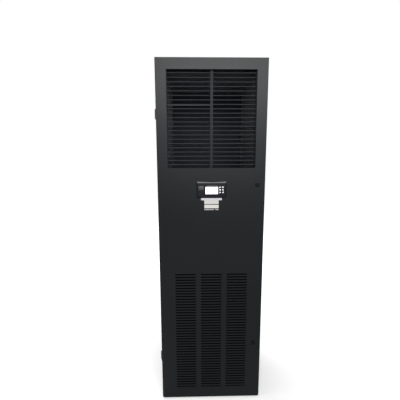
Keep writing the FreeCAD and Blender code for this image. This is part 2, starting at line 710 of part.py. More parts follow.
def coil_tubes():
    """Straight tubes through the fins, and the return bends that join them in pairs."""
    end = SHEET_OUTER + TUBE_END_STUB
    bore = TUBE_RADIUS - TUBE_WALL
    solids = []
    for _, number, along, across in tube_places():
        start = coil_place(-end, along, across)
        solids.append(sleeve(TUBE_RADIUS, bore, start, coil_place(end, along, across)))
        if number + 1 == TUBES_PER_ROW:
            continue
        side = 1 if number % 2 else -1
        here = coil_place(side * end, along, across)
        pivot = coil_place(side * end, along + TUBE_PITCH / 2, across)
        across_axis = coil_place(0, 0, 1) - coil_place(0, 0, 0)
        ring = Part.Face(Part.Wire(Part.makeCircle(TUBE_RADIUS, here, ALONG_X)))
        hole = Part.Face(Part.Wire(Part.makeCircle(bore, here, ALONG_X)))
        solids.append(ring.cut(hole).revolve(pivot, across_axis, -180 * side))
    return solids


def drain_pan():
    """Tray under the coil, the two plates that it stands on, and the pipe that drains it to the rear."""
    top = PAN_BOTTOM + PAN_HEIGHT
    mouth = vec(DRAIN_X, PAN_REAR, DRAIN_Z)
    bore = DRAIN_RADIUS - PIPE_WALL
    rear_wall = block(-PAN_HALF, PAN_HALF, PAN_REAR - SHEET, PAN_REAR, PAN_FLOOR, top)
    pieces = [
        block(-PAN_HALF, PAN_HALF, PAN_FRONT, PAN_REAR, PAN_BOTTOM, PAN_FLOOR),
        block(-PAN_HALF, PAN_HALF, PAN_FRONT, PAN_FRONT + SHEET, PAN_FLOOR, top),
        rear_wall.cut(bar(bore, mouth - vec(0, SHEET, 0), mouth)),
        sleeve(DRAIN_RADIUS, bore, mouth, vec(DRAIN_X, FITTING_INNER, DRAIN_Z))]
    for side in (-1, 1):
        x0, x1 = sorted((side * (PAN_HALF - SHEET), side * PAN_HALF))
        pieces.append(block(x0, x1, PAN_FRONT + SHEET, PAN_REAR - SHEET, PAN_FLOOR, top))
        leg = PAN_HALF - PAN_LEG_INSET
        x0, x1 = sorted((side * leg, side * (leg - PAN_LEG_SHEET)))
        pieces.append(block(x0, x1, PAN_FRONT + SHEET, PAN_REAR - SHEET, BASE_HEIGHT, PAN_BOTTOM))
    return pieces


def compressor():
    """Welded shell on a foot plate, four rubber grommets under it, a terminal box and two ports."""
    centre = vec(COMPRESSOR_X, COMPRESSOR_Y, 0)
    seam = COMPRESSOR_TOP - COMPRESSOR_DOME
    outer = COMPRESSOR_RADIUS
    inner = outer - COMPRESSOR_WALL
    crown = outer - COMPRESSOR_DOME
    ridge = outer + COMPRESSOR_SEAM_RADIUS
    ridge_bottom = seam - COMPRESSOR_SEAM_HEIGHT
    shell = turned([
        (0, COMPRESSOR_TOP), (crown, COMPRESSOR_TOP), (outer, seam),
        (ridge, seam), (ridge, ridge_bottom), (outer, ridge_bottom), (outer, COMPRESSOR_BOTTOM),
        (inner, COMPRESSOR_BOTTOM), (inner, seam), (crown, COMPRESSOR_TOP - COMPRESSOR_WALL),
        (0, COMPRESSOR_TOP - COMPRESSOR_WALL)], centre)
    half = COMPRESSOR_FOOT / 2
    foot_bottom = COMPRESSOR_BOTTOM - COMPRESSOR_FOOT_SHEET
    foot = block(COMPRESSOR_X - half, COMPRESSOR_X + half, COMPRESSOR_Y - half, COMPRESSOR_Y + half,
                 foot_bottom, COMPRESSOR_BOTTOM)
    reach = outer + TERMINAL_BOX / 2
    box_half = TERMINAL_BOX / 2
    box_top = ridge_bottom - TERMINAL_BOX_HEIGHT
    box = block(COMPRESSOR_X - reach, COMPRESSOR_X - inner, COMPRESSOR_Y - box_half,
                COMPRESSOR_Y + box_half, box_top - TERMINAL_BOX_HEIGHT, box_top)
    top = vec(GAS_X, COMPRESSOR_Y, COMPRESSOR_TOP)
    gas_port = bar(GAS_RADIUS + PORT_WALL, top - vec(0, 0, COMPRESSOR_WALL), top + vec(0, 0, PORT_LENGTH))
    side = vec(COMPRESSOR_X + outer, COMPRESSOR_Y, SUCTION_HEIGHT)
    root = side - vec(COMPRESSOR_WALL, 0, 0)
    suction_port = bar(SUCTION_RADIUS + PORT_WALL, root, side + vec(PORT_LENGTH, 0, 0))
    hollow = bar(inner, centre + vec(0, 0, COMPRESSOR_BOTTOM), centre + vec(0, 0, seam))
    solids = [join(shell, foot, box.cut(hollow), gas_port, suction_port)]
    for x in (-half + GROMMET_INSET, half - GROMMET_INSET):
        for y in (-half + GROMMET_INSET, half - GROMMET_INSET):
            spot = vec(COMPRESSOR_X + x, COMPRESSOR_Y + y, BASE_HEIGHT)
            solids.append(bar(GROMMET_RADIUS, spot, spot + vec(0, 0, GROMMET_HEIGHT)))
    return solids


def refrigerant_pipes():
    """Gas line, suction line and the three runs of the liquid line."""
    gas = bent_pipe([
        vec(GAS_X, COMPRESSOR_Y, COMPRESSOR_TOP + PORT_LENGTH),
        vec(GAS_X, COMPRESSOR_Y, GAS_Z),
        vec(GAS_X, FITTING_INNER, GAS_Z)], GAS_RADIUS)
    coil_out = coil_place(SHEET_OUTER, COIL_LENGTH - CONNECTION_INSET, 0)
    port_x = COMPRESSOR_X + COMPRESSOR_RADIUS + PORT_LENGTH
    suction = bent_pipe([
        vec(port_x, COMPRESSOR_Y, SUCTION_HEIGHT),
        vec(RISER_X, COMPRESSOR_Y, SUCTION_HEIGHT),
        vec(RISER_X, COMPRESSOR_Y, GAS_Z),
        vec(RISER_X, coil_out.y, coil_out.z),
        coil_out], SUCTION_RADIUS)
    liquid_in = bent_pipe([
        vec(LIQUID_X, FITTING_INNER, GAS_Z),
        vec(LIQUID_X, LIQUID_Y, GAS_Z),
        vec(LIQUID_X, LIQUID_Y, DRIER_TOP)], LIQUID_RADIUS)
    coil_in = coil_place(SHEET_OUTER, CONNECTION_INSET, 0)
    liquid_run = bent_pipe([
        vec(LIQUID_X, LIQUID_Y, DRIER_BOTTOM),
        vec(LIQUID_X, LIQUID_Y, LIQUID_RUN_HEIGHT),
        vec(RISER_X, LIQUID_Y, LIQUID_RUN_HEIGHT),
        vec(RISER_X, coil_in.y, LIQUID_RUN_HEIGHT),
        vec(RISER_X, coil_in.y, VALVE_BOTTOM)], LIQUID_RADIUS)
    liquid_out = bent_pipe([
        vec(RISER_X, coil_in.y, VALVE_BOTTOM + VALVE_HEIGHT),
        vec(RISER_X, coil_in.y, coil_in.z),
        coil_in], LIQUID_RADIUS)
    return [gas, suction, liquid_in, liquid_run, liquid_out]


def filter_drier():
    """Steel capsule with necked ends in the liquid line."""
    neck = LIQUID_RADIUS + PIPE_WALL
    return turned([
        (0, DRIER_BOTTOM), (neck, DRIER_BOTTOM), (DRIER_RADIUS, DRIER_BOTTOM + DRIER_NECK),
        (DRIER_RADIUS, DRIER_TOP - DRIER_NECK), (neck, DRIER_TOP), (0, DRIER_TOP)],
        vec(LIQUID_X, LIQUID_Y, 0))


def pipe_fittings():
    """Three pipe stubs and a cable gland in the rear panel, and the expansion valve by the coil."""
    solids = []
    for radius, x, z in fitting_places().values():
        neck = radius + FITTING_NECK
        solids.append(bulkhead(radius, radius - FITTING_WALL, neck, radius + FITTING_FLANGE, x, z))
    outer = GLAND_RADIUS + GLAND_WALL
    solids.append(bulkhead(outer, GLAND_RADIUS, outer, outer + FITTING_NECK, GLAND_X, GLAND_Z))
    spot = coil_place(RISER_X, CONNECTION_INSET, 0)
    half = VALVE_SIZE / 2
    body = block(RISER_X - half, RISER_X + half, spot.y - half, spot.y + half,
                 VALVE_BOTTOM, VALVE_BOTTOM + VALVE_HEIGHT)
    middle = vec(RISER_X, spot.y - half, VALVE_BOTTOM + VALVE_HEIGHT / 2)
    head = bar(VALVE_HEAD_RADIUS, middle, middle - vec(0, VALVE_HEAD_HEIGHT, 0))
    solids.append(join(body, head))
    return solids


def bulkhead(stub, bore, neck, flange, x, z):
    """A fitting through the rear panel: a stub and a flange outside, a nut inside."""
    outside = vec(x, REAR_FACE, z)
    shoulder = vec(x, REAR_FACE + FITTING_FLANGE_HEIGHT, z)
    tip = vec(x, REAR_FACE + FITTING_FLANGE_HEIGHT + FITTING_STUB, z)
    body = join(
        bar(flange, outside, shoulder), bar(stub, shoulder, tip),
        bar(neck, vec(x, POST_REAR, z), outside),
        bar(flange, vec(x, FITTING_INNER, z), vec(x, POST_REAR, z)))
    return body.cut(bar(bore, vec(x, FITTING_INNER, z), tip))


def control_box():
    """Open-fronted steel box, and the ears on each side that reach the front posts."""
    box = block(-BOX_HALF, BOX_HALF, BOX_FRONT, BOX_REAR, BOX_BOTTOM, BOX_TOP)
    hollow = block(-BOX_HALF + SHEET, BOX_HALF - SHEET, BOX_FRONT, BOX_REAR - SHEET,
                   BOX_BOTTOM + SHEET, BOX_TOP - SHEET)
    ears = []
    for z0 in (BOX_BOTTOM, BOX_TOP - BOX_EAR_HEIGHT):
        for x0, x1 in ((-POST_INNER, -BOX_HALF), (BOX_HALF, POST_INNER)):
            ears.append(block(x0, x1, BOX_FRONT, BOX_FRONT + SHEET, z0, z0 + BOX_EAR_HEIGHT))
    return [box.cut(hollow), *ears]


def control_gear():
    """Breaker, contactors and terminals on two rails, and the control board on its standoffs."""
    back = BOX_REAR - SHEET
    lower = BOX_BOTTOM + RAIL_RISE
    middle = lower + RAIL_PITCH
    upper = BOX_TOP - BOARD_DROP
    rail_half = BOX_HALF - BOX_CLEARANCE
    seat = back - RAIL_DEPTH
    solids = []
    for z in (lower, middle):
        solids.append(block(-rail_half, rail_half, seat, back, z - RAIL_HEIGHT / 2, z + RAIL_HEIGHT / 2))
    x = -rail_half
    for _ in range(TERMINALS):
        x_next = x + TERMINAL_PITCH
        solids.append(block(x, x_next - HOLE_FIT, seat - TERMINAL_DEPTH, seat,
                            lower - TERMINAL_HEIGHT / 2, lower + TERMINAL_HEIGHT / 2))
        x = x_next
    x = rail_half - BREAKER_WIDTH
    solids.append(block(x, x + BREAKER_WIDTH, seat - BREAKER_DEPTH, seat,
                        lower - BREAKER_HEIGHT / 2, lower + BREAKER_HEIGHT / 2))
    for index in range(CONTACTORS):
        x = -rail_half + index * (CONTACTOR_WIDTH + BOX_CLEARANCE)
        solids.append(block(x, x + CONTACTOR_WIDTH, seat - CONTACTOR_DEPTH, seat,
                            middle - CONTACTOR_HEIGHT / 2, middle + CONTACTOR_HEIGHT / 2))
    board_y = back - BOARD_STANDOFF
    board = block(-BOARD_WIDTH / 2, BOARD_WIDTH / 2, board_y - BOARD_THICKNESS, board_y,
                  upper - BOARD_HEIGHT / 2, upper + BOARD_HEIGHT / 2)
    feet = []
    inset = BOARD_FOOT
    for x in (-BOARD_WIDTH / 2 + inset, BOARD_WIDTH / 2 - inset):
        for z in (upper - BOARD_HEIGHT / 2 + inset, upper + BOARD_HEIGHT / 2 - inset):
            feet.append(bar(inset / 2, vec(x, board_y, z), vec(x, back, z)))
    solids.append(join(board, *feet))
    return solids


def lock_keepers():
    """Strike plates on the right-hand front post that the lock cams turn down behind."""
    reach = CAM_WIDTH / 2 + KEEPER_CLEAR
    keepers = []
    for z in LOCK_HEIGHTS.values():
        keepers.append(block(
            LOCK_X - reach, POST_INNER, KEEPER_FRONT, KEEPER_FRONT + KEEPER_THICKNESS,
            z - reach - KEEPER_HEIGHT, z - reach))
    return keepers


def knuckle_levels(middle):
    """The three knuckles of a hinge, from the bottom up, as pairs of heights."""
    length = (HINGE_HEIGHT - 2 * HINGE_KNUCKLE_GAP) / 3
    bottom = middle - HINGE_HEIGHT / 2
    levels = []
    for index in range(3):
        start = bottom + index * (length + HINGE_KNUCKLE_GAP)
        levels.append((start, start + length))
    return levels


def hinge_leaf(y_edge, y_far, levels, bore, middle):
    """A leaf on the cabinet's left side, with a web and a bored knuckle at each level."""
    outer = -HALF_WIDTH - HINGE_LEAF
    low, high = sorted((y_edge, y_far))
    plate = block(outer, -HALF_WIDTH, low, high, middle - HINGE_HEIGHT / 2, middle + HINGE_HEIGHT / 2)
    web_low, web_high = sorted((y_edge, HINGE_Y))
    pieces = []
    holes = []
    for z0, z1 in levels:
        pieces.append(block(outer, -HALF_WIDTH - HINGE_CLEARANCE, web_low, web_high, z0, z1))
        pieces.append(bar(HINGE_BARREL_RADIUS, vec(HINGE_X, HINGE_Y, z0), vec(HINGE_X, HINGE_Y, z1)))
        holes.append(bar(bore, vec(HINGE_X, HINGE_Y, z0), vec(HINGE_X, HINGE_Y, z1)))
    return join(plate, *pieces).cut(holes)


def hinge_frame_leaves():
    """Cabinet halves of the two hinges with their pins."""
    edge = HINGE_Y + HINGE_BARREL_RADIUS + 2 * HINGE_CLEARANCE
    solids = []
    for middle in HINGE_HEIGHTS:
        bottom, _, top = knuckle_levels(middle)
        bore = HINGE_PIN_RADIUS + RUNNING_FIT
        solids.append(hinge_leaf(edge, edge + HINGE_FRAME_REACH, (bottom, top), bore, middle))
        foot = vec(HINGE_X, HINGE_Y, bottom[0])
        solids.append(bar(HINGE_PIN_RADIUS, foot, vec(HINGE_X, HINGE_Y, top[1])))
    return solids


def hinge_door_leaves():
    """Door halves of the two hinges."""
    edge = HINGE_Y - HINGE_BARREL_RADIUS - 2 * HINGE_CLEARANCE
    solids = []
    for middle in HINGE_HEIGHTS:
        knuckle = knuckle_levels(middle)[1]
        bore = HINGE_PIN_RADIUS + RUNNING_FIT
        solids.append(hinge_leaf(edge, DOOR_FACE + HINGE_DOOR_MARGIN, (knuckle,), bore, middle))
    return solids


def door_envelope(offset):
    """The door's outer form, drawn in by an offset on every side but the rear."""
    x = HALF_WIDTH - offset
    bottom = DOOR_FLOOR_GAP + offset
    face = DOOR_FACE + offset
    shape = block(-x, x, face, DOOR_REAR, bottom, HEIGHT - offset)
    feet = edges_along(shape, ALONG_Y, lambda point: point.z < bottom + SHEET)
    shape = shape.makeFillet(DOOR_FOOT_RADIUS - offset, feet)
    rim = [edge for edge in shape.Edges if edge.BoundBox.YMax < face + offset / 2 + SHEET / 4]
    return shape.makeFillet(DOOR_EDGE_RADIUS - offset, rim)


def intake_slots():
    """Every slot of the return grille, as cutters through the door sheet."""
    first = rounded_y(-INTAKE_HALF, -INTAKE_HALF + SLOT_LENGTH, DOOR_FACE - SHEET, DOOR_FACE + 2 * SHEET,
                      INTAKE_BOTTOM, INTAKE_BOTTOM + SLOT_HEIGHT, SLOT_CORNER)
    slots = []
    for column in range(SLOT_COLUMNS):
        for row in range(SLOT_ROWS):
            slots.append(first.translated(vec(column * (SLOT_LENGTH + SLOT_POST), 0, row * SLOT_PITCH)))
    return slots


def filter_rails():
    """Channels welded inside the door that hold the filter at its sides and foot, as flat strips."""
    wall = FILTER_HALF + FILTER_GAP
    rear = FILTER_REAR + FILTER_GAP
    skin = DOOR_FACE + SHEET
    floor = FILTER_BOTTOM - FILTER_GAP
    pieces = [block(-wall - SHEET, wall + SHEET, skin, rear + SHEET, floor - SHEET, floor)]
    for side in (-1, 1):
        x0, x1 = sorted((side * wall, side * (wall + SHEET)))
        pieces.append(block(x0, x1, skin, rear, floor, FILTER_TOP))
        x0, x1 = sorted((side * (wall - FILTER_RAIL_LIP), side * (wall + SHEET)))
        pieces.append(block(x0, x1, rear, rear + SHEET, floor, FILTER_TOP))
    return pieces


def door_skin():
    """The door's front sheet, with the outlet, the slots and the cut-outs for what it carries."""
    before = DOOR_FACE - SHEET
    behind = DOOR_FACE + 2 * SHEET
    sheet = door_envelope(0).common(
        block(-HALF_WIDTH, HALF_WIDTH, DOOR_FACE, DOOR_FACE + SHEET, DOOR_FLOOR_GAP, HEIGHT))
    outlet = block(-OUTLET_HALF, OUTLET_HALF, before, behind, OUTLET_BOTTOM, OUTLET_TOP)
    housing = block(-HOUSING_HALF - HOLE_FIT, HOUSING_HALF + HOLE_FIT, before, behind,
                    HOUSING_BOTTOM - HOLE_FIT, HOUSING_TOP + HOLE_FIT)
    cutters = [outlet, housing] + intake_slots()
    for z in LOCK_HEIGHTS.values():
        hole = LOCK_BARREL_RADIUS + HOLE_FIT
        cutters.append(bar(hole, vec(LOCK_X, before, z), vec(LOCK_X, behind, z)))
    return sheet.cut(cutters)


def door_edges():
    """The returns behind the front sheet's edges and the lips at their rear, as flat strips."""
    envelope = door_envelope(0)
    ring = envelope.cut(door_envelope(SHEET))
    front = DOOR_FACE + SHEET
    rear = DOOR_REAR - SHEET
    bend = HALF_WIDTH - DOOR_FOOT_RADIUS
    low = DOOR_FLOOR_GAP + DOOR_FOOT_RADIUS
    high = HEIGHT - DOOR_EDGE_RADIUS
    pieces = [
        ring.common(block(-HALF_WIDTH, HALF_WIDTH, front, rear, high, HEIGHT)),
        ring.common(block(-bend, bend, front, rear, DOOR_FLOOR_GAP, low))]
    reach = HALF_WIDTH - DOOR_LIP
    for side in (-1, 1):
        x0, x1 = sorted((side * bend, side * HALF_WIDTH))
        pieces.append(ring.common(block(x0, x1, front, rear, low, high)))
        pieces.append(ring.common(block(x0, x1, front, rear, DOOR_FLOOR_GAP, low)))
        x0, x1 = sorted((side * reach, side * HALF_WIDTH))
        pieces.append(envelope.common(block(x0, x1, rear, DOOR_REAR, DOOR_FLOOR_GAP, HEIGHT)))
    for z0 in (DOOR_FLOOR_GAP, HEIGHT - DOOR_LIP):
        pieces.append(block(-reach, reach, rear, DOOR_REAR, z0, z0 + DOOR_LIP))
    return pieces


def outlet_flange():
    """The flange behind the outlet's edges that the louvre frame sits on, as flat strips."""
    front = DOOR_FACE + SHEET
    pieces = []
    for side in (-1, 1):
        x0, x1 = sorted((side * OUTLET_HALF, side * (OUTLET_HALF + SHEET)))
        pieces.append(block(x0, x1, front, LOUVRE_FRONT, OUTLET_BOTTOM - SHEET, OUTLET_TOP + SHEET))
    for z0 in (OUTLET_BOTTOM - SHEET, OUTLET_TOP):
        pieces.append(block(-OUTLET_HALF, OUTLET_HALF, front, LOUVRE_FRONT, z0, z0 + SHEET))
    return pieces


def door_panel():
    """Door: a front sheet, and the strips welded behind it that stiffen it and hold what it carries."""
    return [door_skin(), *door_edges(), *outlet_flange(), *filter_rails()]


def vane_heights():
    """The height of each vane row's pivot, from the top down."""
    first = OUTLET_TOP - VANE_TOP_MARGIN
    return [first - row * VANE_PITCH for row in range(VANE_ROWS)]


def louvre_frame():
    """Frame and mullion behind the outlet, bored for the vanes' pins."""
    outer = block(-OUTLET_HALF - LOUVRE_LAP, OUTLET_HALF + LOUVRE_LAP, LOUVRE_FRONT, LOUVRE_REAR,
                  OUTLET_BOTTOM - LOUVRE_LAP, OUTLET_TOP + LOUVRE_LAP)
    reach = OUTLET_HALF - LOUVRE_INSET
    half = MULLION_WIDTH / 2
    cutters = []
    for x0, x1 in ((-reach, -half), (half, reach)):
        cutters.append(block(x0, x1, LOUVRE_FRONT, LOUVRE_REAR, OUTLET_BOTTOM, OUTLET_TOP))
    bore = VANE_PIN_RADIUS + RUNNING_FIT
    depth = reach + VANE_PIN_REACH + VANE_END_GAP
    for z in vane_heights():
        cutters.append(bar(bore, vec(-depth, VANE_Y, z), vec(depth, VANE_Y, z)))
    return outer.cut(cutters)


def vane(x0, x1, z, tilt):
    """One vane: a thin blade with a rolled nose on a bossed pivot, with a pin at each end."""
    half = VANE_CHORD / 2
    t = VANE_THICKNESS / 2
    flat = half - t
    front = VANE_NOSE_RADIUS - half
    corners = [vec(x0, y, dz) for y, dz in ((front, -t), (flat, -t), (flat, t), (front, t))]
    edges = [
        Part.LineSegment(corners[0], corners[1]).toShape(),
        Part.Arc(corners[1], vec(x0, half, 0), corners[2]).toShape(),
        Part.LineSegment(corners[2], corners[3]).toShape(),
        Part.LineSegment(corners[3], corners[0]).toShape()]
    blade = Part.Face(Part.Wire(edges)).extrude(vec(x1 - x0, 0, 0))
    blade = join(blade, bar(VANE_NOSE_RADIUS, vec(x0, front, 0), vec(x1, front, 0)))
    blade.rotate(vec(0, 0, 0), ALONG_X, tilt)
    boss = bar(VANE_BOSS_RADIUS, vec(x0, 0, 0), vec(x1, 0, 0))
    inner, outer = sorted((x0, x1), key=abs)
    side = math.copysign(1, outer)
    tip = outer + side * (VANE_END_GAP + VANE_PIN_REACH)
    root = side * HOLE_FIT / 2
    pins = bar(VANE_PIN_RADIUS, vec(root, 0, 0), vec(tip, 0, 0))
    shape = join(blade, boss, pins)
    shape.translate(vec(0, VANE_Y, z))
    return shape


def vane_row(row, z):
    """The left and right vane of a row, which meet in the mullion."""
    left_tilt = ODD_VANE_TILT if row == ODD_VANE_ROW else VANE_TILT
    return [vane(-VANE_END, -VANE_START, z, left_tilt), vane(VANE_START, VANE_END, z, VANE_TILT)]


def air_filter():
    """Filter: a rim and a pleated sheet inside it."""
    rim = block(-FILTER_HALF, FILTER_HALF, FILTER_FRONT, FILTER_REAR, FILTER_BOTTOM, FILTER_TOP)
    x1 = FILTER_HALF - FILTER_RIM
    z0 = FILTER_BOTTOM + FILTER_RIM
    z1 = FILTER_TOP - FILTER_RIM
    rim = rim.cut(block(-x1, x1, FILTER_FRONT, FILTER_REAR, z0, z1))
    folds = 2 * max(1, round((z1 - z0) / FILTER_PLEAT))
    near = FILTER_FRONT + FILTER_PAPER
    far = FILTER_REAR - FILTER_PAPER
    front_line = []
    rear_line = []
    for fold in range(folds + 1):
        z = z0 + (z1 - z0) * fold / folds
        y = far if fold % 2 else near
        front_line.append((y - FILTER_PAPER / 2, z))
        rear_line.append((y + FILTER_PAPER / 2, z))
    return [rim, prism_x(front_line + rear_line[::-1], -x1, x1)]


def lock_bodies():
    """Lock barrels in the door, each with its flange in front and its nut behind."""
    solids = []
    back = DOOR_FACE + SHEET
    rear = back + LOCK_NUT_HEIGHT + SHEET
    for z in LOCK_HEIGHTS.values():
        front = vec(LOCK_X, DOOR_FACE - LOCK_FLANGE_HEIGHT, z)
        seat = vec(LOCK_X, DOOR_FACE, z)
        flange = bar(LOCK_FLANGE_RADIUS, front, seat)
        rim = [edge for edge in flange.Edges if edge.BoundBox.YMax < DOOR_FACE - LOCK_FLANGE_HEIGHT / 2]
        flange = flange.makeChamfer(LOCK_FLANGE_CHAMFER, rim)
        barrel = bar(LOCK_BARREL_RADIUS, seat, vec(LOCK_X, rear, z))
        bore = bar(LOCK_SPINDLE_RADIUS + RUNNING_FIT, front, vec(LOCK_X, rear, z))
        solids.append(join(flange, barrel).cut(bore))
        solids.append(sleeve(LOCK_NUT_RADIUS, LOCK_BARREL_RADIUS + RUNNING_FIT,
                             vec(LOCK_X, back, z), vec(LOCK_X, back + LOCK_NUT_HEIGHT, z)))
    return solids


def lock_cam(z):
    """Lock spindle with a key slot in front and a cam behind, which points inward when unlocked."""
    front = DOOR_FACE - LOCK_FLANGE_HEIGHT + LOCK_SPINDLE_RECESS
    cam_rear = CAM_FRONT + CAM_THICKNESS
    spindle = bar(LOCK_SPINDLE_RADIUS, vec(LOCK_X, front, z), vec(LOCK_X, cam_rear, z))
    key = block(LOCK_X - LOCK_KEY_WIDTH / 2, LOCK_X + LOCK_KEY_WIDTH / 2, front, front + LOCK_KEY_DEPTH,
                z - LOCK_KEY_LENGTH / 2, z + LOCK_KEY_LENGTH / 2)
    half = CAM_WIDTH / 2
    tip = LOCK_X - CAM_LENGTH + half
    arm = block(tip, LOCK_X, CAM_FRONT, cam_rear, z - half, z + half)
    ends = [bar(half, vec(end, CAM_FRONT, z), vec(end, cam_rear, z)) for end in (tip, LOCK_X)]
    return join(spindle.cut(key), arm, *ends)


def key_places():
    """The middle of each key on the display, row by row from the top."""
    places = []
    for row in range(KEY_ROWS):
        for column in range(KEY_COLUMNS):
            x = KEY_FIRST_X + column * KEY_COLUMN_PITCH
            places.append((x, DISPLAY_MIDDLE + ((KEY_ROWS - 1) / 2 - row) * KEY_ROW_PITCH))
    return places


def display_bezel():
    """Bezel with sloped edges on the door's face and a housing through the door."""
    half = DISPLAY_WIDTH / 2
    rings = []
    for inset, top, bottom, y in (
            (0, 0, 0, DOOR_FACE),
            (DISPLAY_SIDE_SLOPE, DISPLAY_TOP_SLOPE, DISPLAY_FOOT_SLOPE, DISPLAY_FACE)):
        corners = [
            vec(-half + inset, y, DISPLAY_BOTTOM + bottom), vec(half - inset, y, DISPLAY_BOTTOM + bottom),
            vec(half - inset, y, DISPLAY_TOP - top), vec(-half + inset, y, DISPLAY_TOP - top)]
        rings.append(Part.makePolygon(corners + corners[:1]))
    front = Part.makeLoft(rings, True, True)
    housing = block(-HOUSING_HALF, HOUSING_HALF, DOOR_FACE, HOUSING_REAR, HOUSING_BOTTOM, HOUSING_TOP)
    wall = DISPLAY_WALL
    cavity = block(-HOUSING_HALF + wall, HOUSING_HALF - wall, DISPLAY_WALL_REAR, HOUSING_REAR,
                   HOUSING_BOTTOM + wall, HOUSING_TOP - wall)
    cutters = [cavity, screen_block(HOLE_FIT, DISPLAY_FACE, DISPLAY_WALL_REAR)]
    for x, z in key_places():
        cutters.append(key_block(x, z, KEY_GAP, DISPLAY_FACE, DISPLAY_WALL_REAR))
    return join(front, housing).cut(cutters)


def screen_block(growth, y0, y1):
    """A box of the screen's outline, grown all round."""
    half_x = SCREEN_WIDTH / 2 + growth
    half_z = SCREEN_HEIGHT / 2 + growth
    return block(SCREEN_SHIFT_X - half_x, SCREEN_SHIFT_X + half_x, y0, y1,
                 DISPLAY_MIDDLE - half_z, DISPLAY_MIDDLE + half_z)


def key_block(x, z, growth, y0, y1):
    """A box of a key's outline, grown all round."""
    half_x = KEY_WIDTH / 2 + growth
    half_z = KEY_HEIGHT / 2 + growth
    return block(x - half_x, x + half_x, y0, y1, z - half_z, z + half_z)


def display_window():
    """Clear window flush with the bezel, lapped behind its wall."""
    pane = screen_block(0, DISPLAY_FACE, DISPLAY_WALL_REAR)
    lap = screen_block(SCREEN_LAP, DISPLAY_WALL_REAR, DISPLAY_WALL_REAR + SCREEN_LAP_DEPTH)
    return join(pane, lap)


def display_board():
    """Circuit board in the housing, with the screen module and one switch behind each key."""
    reach = HOUSING_HALF - DISPLAY_WALL - HOLE_FIT
    board = block(-reach, reach, BOARD_FRONT, BOARD_FRONT + BOARD_THICKNESS,
                  HOUSING_BOTTOM + DISPLAY_WALL + HOLE_FIT, HOUSING_TOP - DISPLAY_WALL - HOLE_FIT)
    module = screen_block(0, DISPLAY_WALL_REAR + SCREEN_LAP_DEPTH, BOARD_FRONT)
    switches = []
    half = SWITCH_SIZE / 2
    tip = KEY_REAR + KEY_TRAVEL + KEY_GAP
    for x, z in key_places():
        switches.append(block(x - half, x + half, tip, BOARD_FRONT, z - half, z + half))
    return join(board, module, *switches)


def display_key(x, z):
    """A key cap that stands proud of the bezel, with a flange behind the bezel's wall."""
    cap = key_block(x, z, 0, DISPLAY_FACE - KEY_PROUD, KEY_REAR)
    edges = edges_along(cap, ALONG_Y, lambda point: True)
    cap = cap.makeFillet(KEY_PROUD / 2, edges)
    flange = key_block(x, z, KEY_LAP, DISPLAY_WALL_REAR + KEY_GAP, KEY_REAR)
    return join(cap, flange)


def blank_label():
    """Blank strip, two blank cards under it and two thin blank line labels, stuck to the door."""
    front = DOOR_FACE - LABEL_THICKNESS
    top = DISPLAY_BOTTOM - LABEL_DROP
    strip = LABEL_STRIP_WIDTH / 2
    card = LABEL_CARD_WIDTH / 2
    solids = [block(-strip, strip, front, DOOR_FACE, top - LABEL_STRIP_HEIGHT, top)]
    z = top - LABEL_STRIP_HEIGHT
    for height in (LABEL_CARD_UPPER, LABEL_CARD_LOWER):
        solids.append(block(-card, card, front, DOOR_FACE, z - height, z))
        z -= height + LABEL_CARD_GAP
    z -= LABEL_LINE_DROP - LABEL_CARD_GAP
    for x0, x1 in ((-card, LABEL_LINE_LONG - card), (LABEL_LINE_LONG - card + LABEL_LINE_GAP, card)):
        solids.append(block(x0, x1, front, DOOR_FACE, z - LABEL_LINE_HEIGHT, z))
    return solids


def main():
    os.makedirs("parts", exist_ok=True)
    save("base_frame", *base_frame())
    save("corner_posts", *corner_posts())
    save("top_panel", top_panel())
    save("left_side_panel", side_panel(-1))
    save("right_side_panel", side_panel(1))
    save("rear_panel", rear_panel())
    save("fan_deck", *fan_deck())
    save("fan_motor", fan_motor())
    save("fan_impeller", fan_impeller())
    save("supply_plenum", supply_plenum())
    save("coil_fins", *coil_fins())
    save("coil_tubes", *coil_tubes())
    save("drain_pan", *drain_pan())
    save("compressor", *compressor())
    save("refrigerant_pipes", *refrigerant_pipes())
    save("filter_drier", filter_drier())
    save("pipe_fittings", *pipe_fittings())
    save("control_box", *control_box())
    save("control_gear", *control_gear())
    save("lock_keepers", *lock_keepers())
    save("hinge_frame_leaves", *hinge_frame_leaves())
    save("hinge_door_leaves", *hinge_door_leaves())
    save("door_panel", *door_panel())
    save("louvre_frame", louvre_frame())
    save("air_filter", *air_filter())
    save("lock_bodies", *lock_bodies())
    save("display_bezel", display_bezel())
    save("display_window", display_window())
    save("display_board", display_board())
    save("blank_label", *blank_label())
    for name, z in LOCK_HEIGHTS.items():
        save(name + "_lock_cam", lock_cam(z))
    for number, (x, z) in enumerate(key_places(), start=1):
        save("display_key_%d" % number, display_key(x, z))
    for row, z in enumerate(vane_heights(), start=1):
        save("vane_row_%02d" % row, *vane_row(row, z))


main()
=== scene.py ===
import logging
import math
from dataclasses import dataclass
from enum import Enum

import bmesh
import bpy
from mathutils import Matrix, Vector


